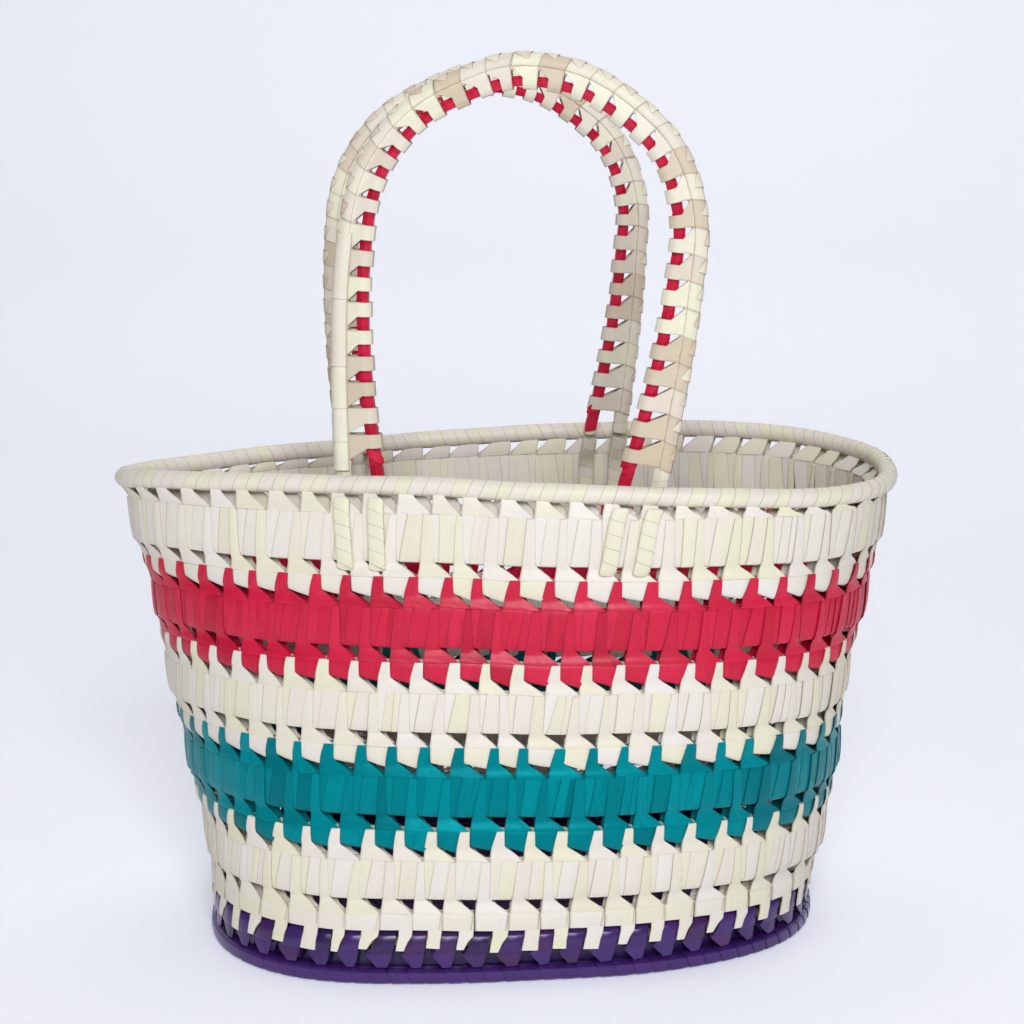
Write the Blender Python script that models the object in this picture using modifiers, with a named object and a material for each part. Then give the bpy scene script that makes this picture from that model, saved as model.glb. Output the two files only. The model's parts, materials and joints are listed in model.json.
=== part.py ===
"""Oval market basket coiled from palm leaf, with two laced rod handles.

The wall is a stack of coiled courses. Each course is a core wrapped in leaf strip,
and its strips rise as knots that tie it to the course above. The handles turn
a little at the rim, where their rods flex, and their tails hook round the top band.
Metres, +Z up, origin under the middle of the basket where it stands.
"""

import math
from collections import namedtuple

import bmesh
import bpy
from mathutils import Vector

OBJECT_NAME = "kiondo_basket"

# Plan of the rim and of the base, outside sizes
RIM_LENGTH = 0.4000
RIM_MID_WIDTH = 0.1912
RIM_SQUARENESS = 2.26
RIM_FULLNESS_SHARE = 0.25
RIM_TILT_SHARE = 0.004
RIM_END_DROP = 0.0055
RIM_TWIST = 0.0062
BASE_LENGTH = 0.3150
BASE_MID_WIDTH = 0.2312
BASE_SQUARENESS = 2.77
BASE_FULLNESS_SHARE = -0.13
BASE_SHIFT = 0.0021
WAIST_INSET = 0.0050

# Heights of the courses and of the knot rows between them
FOOT_HEIGHT = 0.0088
PURPLE_HEIGHT = 0.0100
NARROW_HEIGHT = 0.0082
BAND_HEIGHT = 0.0200
TOP_BAND_HEIGHT = 0.0240
RIM_HEIGHT = 0.0100
KNOT_HEIGHT = 0.0059
SEAM_HEIGHT = 0.0018

# Thickness of the courses through the wall
FOOT_THICKNESS = 0.0096
NARROW_THICKNESS = 0.0064
BAND_THICKNESS = 0.0070
RIM_THICKNESS = 0.0100
WRAP_THICKNESS = 0.0010
KNOT_THICKNESS = 0.0018
WRAP_SLIT = 0.0006
MAT_THICKNESS = 0.0070

# Gap kept between pieces that touch
FIT_GAP = 0.0003

# Handles: rods, their spacing and the arch
OUTER_ROD_DIAMETER = 0.0100
INNER_ROD_DIAMETER = 0.0080
ROD_WRAP_THICKNESS = 0.0009
ROD_SPACING_TOP = 0.0108
ROD_SPACING_FOOT = 0.0145
LEFT_LEG_X = -0.0752
RIGHT_LEG_X = 0.0725
BACK_LEG_SHIFT = -0.0135
ARCH_RISE = 0.1980
LEAN_OUT_DEG = 10.0

# Strip that laces the two rods of a handle
LACE_WIDTH = 0.0055
LACE_THICKNESS = 0.0008
LACE_GAP = 0.0007
LACE_TURNS = 24
LACE_STEP_DEG = 45
LACE_START = 0.0260

# Tails of the rods, round the top band
TAIL_WIDTH = 0.0087
TAIL_THICKNESS = 0.0042
TAIL_BEND_RADIUS = 0.0030
TAIL_SLANT_SHARE = 0.15

# Counts that set how fine the meshes are
WALL_STATIONS = 36
END_CROWDING_SHARE = 0.30
ARCH_SEGMENTS = 24
ARCH_CURVE_STEPS = 12
ROD_SIDES = 6
OUTLINE_STEPS = 720
SHARP_ANGLE_DEG = 40

# Rounds of the searches along the rim and up the wall
HALVING_ROUNDS = 40
NEAREST_ROUNDS = 6
LEVEL_ROUNDS = 4

# Arch of the handle from the left foot to the right foot,
# as shares of half the foot span and of the rise
ARCH_SHARES = (
    (-1.00, 0.00),
    (-1.02, 0.29),
    (-1.00, 0.53),
    (-0.90, 0.735),
    (-0.62, 0.885),
    (-0.22, 0.97),
    (0.11, 1.00),
    (0.53, 0.97),
    (0.93, 0.865),
    (1.135, 0.76),
    (1.225, 0.63),
    (1.205, 0.50),
    (1.14, 0.30),
    (1.00, 0.00),
)

# How far the two ends stand in from the line between base and rim, as shares of the waist inset:
# share of the wall's height, left end, right end
WAIST_SHARES = (
    (0.00, 0.00, 0.00),
    (0.06, 0.80, 0.80),
    (0.20, 1.00, 0.25),
    (0.36, 0.75, 0.30),
    (0.53, 0.50, 0.45),
    (0.70, 0.65, 0.40),
    (0.89, 0.15, 0.25),
    (1.00, 0.00, 0.00),
)

# Outer sections, as shares of half the thickness and of the height
BAND_SECTION_SHARES = ((0.86, 0.14), (0.96, 0.84))
ROUND_SECTION_SHARES = ((0.92, 0.30), (0.92, 0.70))
FOOT_SECTION_SHARES = ((0.62, 0.00), (1.00, 0.55))
COIL_SECTION_SHARES = ((0.40, 0.00), (1.00, 0.52))
ROUND_TOP_SHARE = 0.38
MIDDLE_SHARE = 0.50

# Round end of a rod's core below its hinge axis, as shares of the core's radius
ROUND_END_SHARES = ((0.00, 1.00), (0.50, 0.87), (0.85, 0.53), (1.00, 0.15))

COLOURS = {
    "natural_leaf": (0.78, 0.66, 0.44),
    "red_leaf": (0.60, 0.03, 0.05),
    "teal_leaf": (0.01, 0.27, 0.22),
    "purple_leaf": (0.09, 0.02, 0.16),
    "leaf_core": (0.62, 0.50, 0.30),
}
LEAF_ROUGHNESS = 0.5
CORE_ROUGHNESS = 0.8

# How a course is built: its height and thickness, the knot row above, section, and if it has a core
Build = namedtuple("Build", "height thickness row_above shares has_core")
FOOT = Build(FOOT_HEIGHT, FOOT_THICKNESS, KNOT_HEIGHT, FOOT_SECTION_SHARES, True)
SEAM_COIL = Build(PURPLE_HEIGHT, NARROW_THICKNESS, SEAM_HEIGHT, COIL_SECTION_SHARES, False)
COIL = Build(NARROW_HEIGHT, NARROW_THICKNESS, KNOT_HEIGHT, COIL_SECTION_SHARES, False)
BAND = Build(BAND_HEIGHT, BAND_THICKNESS, KNOT_HEIGHT, BAND_SECTION_SHARES, True)
TOP_BAND = Build(TOP_BAND_HEIGHT, BAND_THICKNESS, KNOT_HEIGHT, BAND_SECTION_SHARES, True)

# Courses from the ground up
COURSES = (
    ("foot_coil", "purple_leaf", FOOT),
    ("purple_coil", "purple_leaf", SEAM_COIL),
    ("low_natural_coil", "natural_leaf", COIL),
    ("low_natural_band", "natural_leaf", BAND),
    ("teal_coil", "teal_leaf", COIL),
    ("teal_band", "teal_leaf", BAND),
    ("mid_natural_coil", "natural_leaf", COIL),
    ("mid_natural_band", "natural_leaf", BAND),
    ("red_coil", "red_leaf", COIL),
    ("red_band", "red_leaf", BAND),
    ("top_natural_coil", "natural_leaf", COIL),
    ("top_natural_band", "natural_leaf", TOP_BAND),
)

# Levels worked out from the courses
RIM_BOTTOM = sum(build.height + build.row_above for _, _, build in COURSES)
TOP_BAND_TOP = RIM_BOTTOM - TOP_BAND.row_above
TAIL_TOP = TOP_BAND_TOP + KNOT_HEIGHT / 2
TAIL_BOTTOM = TOP_BAND_TOP - TOP_BAND_HEIGHT - KNOT_HEIGHT / 2
FOOT_MIDDLE = FOOT_HEIGHT / 2
RIM_MIDDLE = RIM_BOTTOM + RIM_HEIGHT / 2

# Radii worked out from the rods
OUTER_ROD_RADIUS = OUTER_ROD_DIAMETER / 2
INNER_ROD_RADIUS = INNER_ROD_DIAMETER / 2
LEG_OFFSET = (RIM_THICKNESS / 2 + OUTER_ROD_RADIUS) / math.cos(math.radians(LEAN_OUT_DEG)) + FIT_GAP


def clear_scene():
    """Remove what the scene holds, so that only the basket is left."""
    for item in list(bpy.data.objects):
        bpy.data.objects.remove(item)


def make_collection():
    """Collection that holds the basket's pieces."""
    collection = bpy.data.collections.new(OBJECT_NAME)
    bpy.context.scene.collection.children.link(collection)
    return collection


def make_material(name, colour, roughness):
    """Plain leaf material."""
    material = bpy.data.materials.new(name)
    material.use_nodes = True
    shader = material.node_tree.nodes["Principled BSDF"]
    shader.inputs["Base Color"].default_value = (*colour, 1)
    shader.inputs["Roughness"].default_value = roughness
    shader.inputs["Metallic"].default_value = 0
    material.diffuse_color = (*colour, 1)
    return material


def oval(half_length, half_width, squareness, fullness_share, shift):
    """Plan outline at equal steps of its own length, from the +X tip and anticlockwise."""
    raw = []
    for step in range(OUTLINE_STEPS):
        angle = 2 * math.pi * step / OUTLINE_STEPS
        along = math.copysign(abs(math.cos(angle)) ** (2 / squareness), math.cos(angle))
        across = math.copysign(abs(math.sin(angle)) ** (2 / squareness), math.sin(angle))
        width = half_width * (1 + fullness_share * along)
        raw.append(Vector((shift + half_length * along, width * across, 0)))
    return even_steps(raw + raw[:1], OUTLINE_STEPS)[:-1]


def even_steps(points, count):
    """Points at count equal steps along a line of points, both ends included."""
    lengths = [0]
    for first, second in zip(points, points[1:]):
        lengths.append(lengths[-1] + (second - first).length)
    result = []
    place = 0
    for step in range(count + 1):
        target = lengths[-1] * step / count
        while place < len(points) - 2 and lengths[place + 1] < target:
            place += 1
        span = lengths[place + 1] - lengths[place]
        result.append(points[place].lerp(points[place + 1], (target - lengths[place]) / span))
    return result


RIM_OUTLINE = oval(
    (RIM_LENGTH - RIM_THICKNESS) / 2,
    (RIM_MID_WIDTH - RIM_THICKNESS) / 2,
    RIM_SQUARENESS,
    RIM_FULLNESS_SHARE,
    0,
)
BASE_OUTLINE = oval(
    (BASE_LENGTH - FOOT_THICKNESS) / 2,
    (BASE_MID_WIDTH - FOOT_THICKNESS) / 2,
    BASE_SQUARENESS,
    BASE_FULLNESS_SHARE,
    BASE_SHIFT,
)


def outline_point(outline, turn):
    """Point of an outline at a share of one turn."""
    place = (turn % 1) * OUTLINE_STEPS
    index = int(place) % OUTLINE_STEPS
    return outline[index].lerp(outline[(index + 1) % OUTLINE_STEPS], place - int(place))


def waist_share(share, end):
    """Share of the waist inset at a share of the wall's height, at the left or right end."""
    column = 2 if end > 0 else 1
    for low, high in zip(WAIST_SHARES, WAIST_SHARES[1:]):
        if low[0] <= share < high[0]:
            way = (share - low[0]) / (high[0] - low[0])
            return low[column] + (high[column] - low[column]) * way
    return 0


def wall_plan(turn, height):
    """Plan point of the wall's middle surface; its two ends stand in at the waist."""
    share = (height - FOOT_MIDDLE) / (RIM_MIDDLE - FOOT_MIDDLE)
    rim = outline_point(RIM_OUTLINE, turn)
    endwise = 2 * rim.x / RIM_LENGTH
    point = outline_point(BASE_OUTLINE, turn).lerp(rim, share)
    point.x -= WAIST_INSET * waist_share(share, endwise) * endwise * abs(endwise)
    return point


def wall_normal(turn, height):
    """Level direction that points out of the basket, square to the wall's plan."""
    step = 1 / OUTLINE_STEPS
    along = wall_plan(turn + step, height) - wall_plan(turn - step, height)
    return Vector((along.y, -along.x, 0)).normalized()


def wall_point(turn, height, offset):
    """Point of the wall at a height, moved out of the basket by offset."""
    share = max(0, (height - FOOT_MIDDLE) / (RIM_MIDDLE - FOOT_MIDDLE))
    rim = outline_point(RIM_OUTLINE, turn)
    endwise = 2 * rim.x / RIM_LENGTH
    sidewise = 2 * rim.y / RIM_MID_WIDTH
    warp = RIM_TWIST * endwise * sidewise - RIM_END_DROP * endwise ** 2
    lift = share * (RIM_TILT_SHARE * rim.x + warp)
    point = wall_plan(turn, height) + wall_normal(turn, height) * offset
    point.z = height + lift
    return point


def station_turn(station):
    """Place of a wall station round the basket; the stations crowd at the two ends."""
    share = station / WALL_STATIONS
    return share - END_CROWDING_SHARE * math.sin(4 * math.pi * share) / (4 * math.pi)


def loft(name, rings, closed):
    """Mesh object through rings of points; open ends are capped.

    Every strip is cut along the same diagonal, so that nested rings keep their gap.
    """
    mesh = bpy.data.meshes.new(name)
    work = bmesh.new()
    rows = [[work.verts.new(point) for point in ring] for ring in rings]
    pairs = list(zip(rows, rows[1:]))
    if closed:
        pairs.append((rows[-1], rows[0]))
    count = len(rows[0])
    for row, following in pairs:
        for index in range(count):
            after = (index + 1) % count
            work.faces.new((row[index], row[after], following[after]))
            work.faces.new((row[index], following[after], following[index]))
    if not closed:
        work.faces.new(list(reversed(rows[0])))
        work.faces.new(rows[-1])
    bmesh.ops.recalc_face_normals(work, faces=work.faces)
    work.to_mesh(mesh)
    work.free()
    mesh.shade_smooth()
    mesh.set_sharp_from_angle(angle=math.radians(SHARP_ANGLE_DEG))
    return bpy.data.objects.new(name, mesh)


def finish_object(item, collection, material):
    """Give a piece its material and put it in the basket's collection."""
    item.data.materials.append(material)
    collection.objects.link(item)


def mirrored(half):
    """Section with both faces from its outer half, listed from the bottom to the top."""
    return half + [(-offset, height) for offset, height in reversed(half)]


def wrap_section(bottom, height, thickness, shares, top_half, top):
    """Closed outline of a leaf wrap: outer faces, then the hollow for its core.

    The wrap is open along a slit underneath, where its strips turn in.
    """
    half = thickness / 2
    middle = bottom + MIDDLE_SHARE * height
    outer = [(WRAP_SLIT / 2, bottom)]
    outer += [(half * across, bottom + height * up) for across, up in shares]
    outer += [(top_half, top)]
    hollow_half = half - WRAP_THICKNESS
    hollow = [
        (-WRAP_SLIT / 2, bottom + WRAP_THICKNESS),
        (-hollow_half, middle),
        (0, bottom + height - 2 * WRAP_THICKNESS),
        (hollow_half, middle),
        (WRAP_SLIT / 2, bottom + WRAP_THICKNESS),
    ]
    return mirrored(outer) + hollow


def core_section(bottom, height, thickness):
    """Four-sided section of a core, inside its wrap's hollow by the fit gap."""
    middle = bottom + MIDDLE_SHARE * height
    half = thickness / 2 - WRAP_THICKNESS
    above = bottom + height - 2 * WRAP_THICKNESS - middle
    below = middle - bottom - WRAP_THICKNESS
    shorter = min(above, below)
    inner_radius = half * shorter / math.hypot(half, shorter)
    share = 1 - FIT_GAP / inner_radius
    low = middle - below * share
    high = middle + above * share
    return [(0, low), (-half * share, middle), (0, high), (half * share, middle)]


def coil_section(bottom, height, thickness, shares, top):
    """Six-sided section of a narrow coil whose strips fill it."""
    half = thickness / 2
    outer = [(half * across, bottom + height * up) for across, up in shares]
    return mirrored(outer + [(KNOT_THICKNESS / 2, top)])


def wall_ring(name, section_at):
    """Closed ring round the basket; section_at gives the section of a station."""
    rings = []
    for station in range(WALL_STATIONS):
        turn = station_turn(station)
        rings.append([wall_point(turn, height, offset) for offset, height in section_at(station)])
    return loft(name, rings, True)


def knot_rise(station, row_height, with_tails):
    """Height of the knots at a station: every second one rises to the course above."""
    if station % 2 or (with_tails and near_tail(station)):
        return 0
    return row_height - FIT_GAP


def leg_x(side):
    """Places along the basket of a handle's left and right legs."""
    shift = BACK_LEG_SHIFT if side > 0 else 0
    return LEFT_LEG_X + shift, RIGHT_LEG_X + shift


def near_tail(station):
    """Whether a knot at this station would reach the handle tails where they pass the wall."""
    place = wall_plan(station_turn(station), TAIL_BOTTOM)
    before = wall_plan(station_turn(station - 1), TAIL_BOTTOM).x
    after = wall_plan(station_turn(station + 1), TAIL_BOTTOM).x
    reach = TAIL_WIDTH / 2 + TAIL_SLANT_SHARE * (TAIL_TOP - TAIL_BOTTOM) + KNOT_THICKNESS
    low = min(before, after) - reach
    high = max(before, after) + reach
    left, right = leg_x(math.copysign(1, place.y))
    feet = (left, left + ROD_SPACING_FOOT, right, right - ROD_SPACING_FOOT)
    return any(low < x < high for x in feet)


def make_course(collection, materials, name, colour, build, bottom, with_tails):
    """One course of the wall: its wrap, and its core where it has one."""
    top = bottom + build.height

    def section_at(station):
        peak = top + knot_rise(station, build.row_above, with_tails)
        if build.has_core:
            top_half = KNOT_THICKNESS / 2
            return wrap_section(bottom, build.height, build.thickness, build.shares, top_half, peak)
        return coil_section(bottom, build.height, build.thickness, build.shares, peak)

    if build.has_core:
        finish_object(wall_ring(name + "_wrap", section_at), collection, materials[colour])
        section = core_section(bottom, build.height, build.thickness)
        core = wall_ring(name + "_core", lambda station: section)
        finish_object(core, collection, materials["leaf_core"])
    else:
        finish_object(wall_ring(name, section_at), collection, materials[colour])


def make_wall(collection, materials):
    """All courses from the foot to the top band."""
    bottom = 0
    above = [build for _, _, build in COURSES[1:]] + [None]
    for (name, colour, build), build_above in zip(COURSES, above):
        with_tails = build_above is TOP_BAND
        make_course(collection, materials, name, colour, build, bottom, with_tails)
        bottom += build.height + build.row_above


def make_rim(collection, materials):
    """Rope that closes the wall: a round wrap over its core."""
    top_half = ROUND_TOP_SHARE * RIM_THICKNESS / 2
    top = RIM_BOTTOM + RIM_HEIGHT
    wrap = wrap_section(RIM_BOTTOM, RIM_HEIGHT, RIM_THICKNESS, ROUND_SECTION_SHARES, top_half, top)
    core = core_section(RIM_BOTTOM, RIM_HEIGHT, RIM_THICKNESS)
    finish_object(wall_ring("rim_wrap", lambda station: wrap), collection, materials["natural_leaf"])
    finish_object(wall_ring("rim_core", lambda station: core), collection, materials["leaf_core"])


def make_base_mat(collection, materials):
    """Flat oval mat inside the foot coil."""
    curve = bpy.data.curves.new("base_mat", "CURVE")
    curve.dimensions = "2D"
    curve.fill_mode = "BOTH"
    curve.extrude = MAT_THICKNESS / 2
    spline = curve.splines.new("POLY")
    spline.points.add(WALL_STATIONS - 1)
    spline.use_cyclic_u = True
    for station, point in enumerate(spline.points):
        edge = wall_point(station_turn(station), FOOT_MIDDLE, -FOOT_THICKNESS / 2 - FIT_GAP)
        point.co = (edge.x, edge.y, 0, 1)
    mat = bpy.data.objects.new("base_mat", curve)
    mat.location.z = MAT_THICKNESS / 2
    finish_object(mat, collection, materials["purple_leaf"])


def turn_at_x(x, side):
    """Place round the rim at a given x, on the front (side -1) or the back (side 1)."""
    low, high = (0.5, 1.0) if side < 0 else (0.0, 0.5)
    rising = side < 0
    for _ in range(HALVING_ROUNDS):
        middle = (low + high) / 2
        if (outline_point(RIM_OUTLINE, middle).x < x) == rising:
            low = middle
        else:
            high = middle
    return (low + high) / 2


def hinge_frame(side):
    """Hinge line of a handle: its middle, direction, up and out directions, half foot span."""
    left, right = (wall_point(turn_at_x(x, side), RIM_MIDDLE, -LEG_OFFSET) for x in leg_x(side))
    along = (right - left).normalized()
    out = along.cross(Vector((0, 0, 1))).normalized()
    up = out.cross(along)
    return (left + right) / 2, along, up, out, (right - left).length / 2


def smooth_line(points, steps):
    """Catmull-Rom curve through points, with steps between neighbours."""
    padded = [2 * points[0] - points[1]] + points + [2 * points[-1] - points[-2]]
    result = []
    for p0, p1, p2, p3 in zip(padded, padded[1:], padded[2:], padded[3:]):
        for step in range(steps):
            t = step / steps
            result.append(
                (2 * p1 + (p2 - p0) * t + (2 * p0 - 5 * p1 + 4 * p2 - p3) * t ** 2
                 + (3 * p1 - p0 - 3 * p2 + p3) * t ** 3) / 2
            )
    result.append(points[-1])
    return result


def arch_line(half_span, steps):
    """Outer rod's centre line in the handle's plane: x along the hinge, y up."""
    corners = [Vector((across * half_span, up * ARCH_RISE, 0)) for across, up in ARCH_SHARES]
    return even_steps(smooth_line(corners, ARCH_CURVE_STEPS), steps)


def spacing_at(share):
    """Distance between the two rods at a share of the arch's length."""
    away = abs(2 * share - 1)
    return ROD_SPACING_TOP + (ROD_SPACING_FOOT - ROD_SPACING_TOP) * away ** 2


def inward_at(line, index):
    """Direction in the handle's plane from the outer rod to the inner one."""
    before = line[max(index - 1, 0)]
    after = line[min(index + 1, len(line) - 1)]
    along = (after - before).normalized()
    return Vector((along.y, -along.x, 0))


def inner_line(line):
    """Inner rod's centre line in the handle's plane; its feet stand on the hinge line."""
    count = len(line) - 1
    result = []
    for index, point in enumerate(line):
        result.append(point + inward_at(line, index) * spacing_at(index / count))
    for end in (0, -1):
        result[end] = Vector((result[end].x, 0, 0))
    return result


def in_handle(frame, point):
    """World point from a point of the handle's plane."""
    middle, along, up, _, _ = frame
    return middle + along * point.x + up * point.y


def rod_curve(name, points, radii, origin, depth, caps):
    """Round rod through world points, as a curve about an origin; radii are shares of depth."""
    curve = bpy.data.curves.new(name, "CURVE")
    curve.dimensions = "3D"
    curve.bevel_depth = depth
    curve.bevel_resolution = (ROD_SIDES - 4) // 2
    curve.use_fill_caps = caps
    spline = curve.splines.new("POLY")
    spline.points.add(len(points) - 1)
    for target, point, radius in zip(spline.points, points, radii):
        target.co = (*(point - origin), 1)
        target.radius = radius
    item = bpy.data.objects.new(name, curve)
    item.location = origin
    return item


def core_radius(rod_radius):
    """Radius of a rod's core, inside the flats of its faceted wrap."""
    return (rod_radius - ROD_WRAP_THICKNESS) * math.cos(math.pi / ROD_SIDES) - FIT_GAP


def make_rod_wrap(name, frame, line, radius):
    """Leaf tube of a rod, open at both feet."""
    points = [in_handle(frame, point) for point in line]
    wrap = rod_curve(name, points, [1] * len(points), frame[0], radius, False)
    shell = wrap.modifiers.new("leaf", "SOLIDIFY")
    shell.thickness = ROD_WRAP_THICKNESS
    shell.offset = -1
    return wrap


def make_rod_core(name, frame, line, radius):
    """Core of a rod; its round feet are centred on the hinge axis."""
    size = core_radius(radius)
    path = []
    for low, share in reversed(ROUND_END_SHARES):
        path.append((line[0] - Vector((0, size * low, 0)), share))
    path += [(point, 1) for point in line[1:-1]]
    for low, share in ROUND_END_SHARES:
        path.append((line[-1] - Vector((0, size * low, 0)), share))
    points = [in_handle(frame, point) for point, _ in path]
    return rod_curve(name, points, [share for _, share in path], frame[0], size, True)


def between(line, share):
    """Point at a share of a line's segments."""
    place = share * (len(line) - 1)
    index = min(int(place), len(line) - 2)
    return line[index].lerp(line[index + 1], place - index)


def lace_corners():
    """Corners of one lace turn round both rods: which rod, and the angle from the inward side."""
    half_round = range(180 // LACE_STEP_DEG + 1)
    outer = [(0, 90 + step * LACE_STEP_DEG) for step in half_round]
    inner = [(1, 270 + step * LACE_STEP_DEG) for step in half_round]
    return outer + inner


def lace_rings(frame, outer, inner):
    """Flat sections of the lace along its winding round both rods."""
    corners = lace_corners()
    radii = (OUTER_ROD_RADIUS, INNER_ROD_RADIUS)
    slack = math.cos(math.radians(LACE_STEP_DEG / 2))
    start = LACE_START / sum((b - a).length for a, b in zip(outer, outer[1:]))
    total = LACE_TURNS * len(corners)
    out = frame[3]
    rings = []
    for step in range(total + 1):
        rod, angle = corners[step % len(corners)]
        share = start + (1 - 2 * start) * step / total
        pair = (in_handle(frame, between(outer, share)), in_handle(frame, between(inner, share)))
        inward = (pair[1] - pair[0]).normalized()
        radial = inward * math.cos(math.radians(angle)) + out * math.sin(math.radians(angle))
        across = out.cross(inward) * (LACE_WIDTH / 2)
        edge = radial * (LACE_THICKNESS / 2)
        middle = pair[rod] + radial * ((radii[rod] + LACE_GAP + LACE_THICKNESS / 2) / slack)
        corner_signs = ((1, 1), (-1, 1), (-1, -1), (1, -1))
        rings.append([middle + across * wide + edge * thick for wide, thick in corner_signs])
    return rings


def least_gap(rings, apart):
    """Least distance between section points at least so many sections apart."""
    result = math.inf
    for index, ring in enumerate(rings):
        for other in rings[index + apart:index + 3 * apart]:
            result = min(result, min((a - b).length for a in ring for b in other))
    return result


def make_lace(name, frame, outer, inner):
    """Flat strip wound round both rods of a handle in one unbroken line."""
    rings = lace_rings(frame, outer, inner)
    gap = least_gap(rings, len(lace_corners()) // 2)
    print(f"{name}: least gap to itself {1000 * gap:.1f} mm")
    lace = loft(name, [[point - frame[0] for point in ring] for ring in rings], False)
    lace.location = frame[0]
    return lace


def wall_place(point):
    """Place round the rim nearest to a point, and the point's offset from it."""
    level_point = point.xy.to_3d()
    nearest = min(range(OUTLINE_STEPS), key=lambda step: (RIM_OUTLINE[step] - level_point).length)
    turn = nearest / OUTLINE_STEPS
    perimeter = (RIM_OUTLINE[1] - RIM_OUTLINE[0]).length * OUTLINE_STEPS
    for _ in range(NEAREST_ROUNDS):
        normal = wall_normal(turn, RIM_MIDDLE)
        away = level_point - wall_plan(turn, RIM_MIDDLE)
        turn += away.dot(Vector((-normal.y, normal.x, 0))) / perimeter
    return turn, away.dot(normal), perimeter


def wall_height(turn, level):
    """Height on the wall, before its warp, of a true level."""
    height = level
    for _ in range(LEVEL_ROUNDS):
        height += level - wall_point(turn, height, 0).z
    return height


def tail_route(offset, start):
    """Middle line of a tail in the wall's section: down inside the top band, out below, up outside."""
    bend = TAIL_BEND_RADIUS
    side = BAND_THICKNESS / 2 + FIT_GAP + TAIL_THICKNESS / 2
    corner = bend * (1 - math.cos(math.pi / 4))
    return [
        (offset, start),
        (offset, TAIL_TOP),
        (-side, TOP_BAND_TOP - BAND_THICKNESS),
        (-side, TAIL_BOTTOM + bend),
        (corner - side, TAIL_BOTTOM + corner),
        (bend - side, TAIL_BOTTOM),
        (side - bend, TAIL_BOTTOM),
        (side - corner, TAIL_BOTTOM + corner),
        (side, TAIL_BOTTOM + bend),
        (side, RIM_BOTTOM - FIT_GAP),
    ]


def tail_section():
    """Six-sided section of a tail: across it, and out through it."""
    half = TAIL_THICKNESS / 2
    side = TAIL_WIDTH / 2
    flat = side - half
    return (side, 0), (flat, half), (-flat, half), (-side, 0), (-flat, -half), (flat, -half)


def make_tail(name, foot, radius, slant_share):
    """Flattened end of a rod, hooked round the top band from inside; it ends under the rim."""
    turn, offset, perimeter = wall_place(foot)
    route = tail_route(offset, wall_height(turn, foot.z - core_radius(radius) - FIT_GAP))
    step = wall_plan(turn + 1 / OUTLINE_STEPS, RIM_MIDDLE) - wall_plan(turn, RIM_MIDDLE)
    slant = math.copysign(slant_share / perimeter, step.x)
    rings = []
    for index, (out, height) in enumerate(route):
        before = Vector(route[max(index - 1, 0)])
        after = Vector(route[min(index + 1, len(route) - 1)])
        run = (after - before).normalized()
        place = turn - slant * max(0, TAIL_TOP - height)
        normal = wall_normal(place, height)
        tangent = Vector((-normal.y, normal.x, 0))
        ring = []
        for across, thick in tail_section():
            point = wall_point(place, height + run.x * thick, out - run.y * thick)
            ring.append(point + tangent * across)
        rings.append(ring)
    return loft(name, rings, False)


def make_handle(collection, materials, label, side):
    """One handle: two rods, the strip that laces them, and the tails in the wall."""
    frame = hinge_frame(side)
    outer = arch_line(frame[4], ARCH_SEGMENTS)
    inner = inner_line(outer)
    rods = (
        ("outer", outer, OUTER_ROD_RADIUS, "natural_leaf"),
        ("inner", inner, INNER_ROD_RADIUS, "red_leaf"),
    )
    right_slant = TAIL_SLANT_SHARE if side < 0 else 0
    for rod, line, radius, colour in rods:
        name = label + "_handle_" + rod
        wrap = make_rod_wrap(name + "_wrap", frame, line, radius)
        core = make_rod_core(name + "_core", frame, line, radius)
        finish_object(wrap, collection, materials[colour])
        finish_object(core, collection, materials["leaf_core"])
        for end, place, slant in (("left", 0, 0), ("right", -1, right_slant)):
            tail = make_tail(name + "_tail_" + end, in_handle(frame, line[place]), radius, slant)
            finish_object(tail, collection, materials["natural_leaf"])
    lace = make_lace(label + "_handle_lace", frame, outer, inner)
    finish_object(lace, collection, materials["natural_leaf"])


def main():
    """Build the basket."""
    clear_scene()
    collection = make_collection()
    materials = {}
    for name, colour in COLOURS.items():
        roughness = CORE_ROUGHNESS if name == "leaf_core" else LEAF_ROUGHNESS
        materials[name] = make_material(name, colour, roughness)
    make_base_mat(collection, materials)
    make_wall(collection, materials)
    make_rim(collection, materials)
    make_handle(collection, materials, "front", -1)
    make_handle(collection, materials, "back", 1)


main()
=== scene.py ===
"""Looks of an oval market basket, coiled and knotted from palm leaf, with two laced rod handles.

Every leaf strip is a closed curved sheet of its own, with its own tint and grain. The wall is a
stack of courses. Each course's strips wrap it, rise as knots to the course above and run over that
course as posts. Metres, +Z up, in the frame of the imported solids.
"""
import json
import math
import random
from collections import namedtuple

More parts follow.
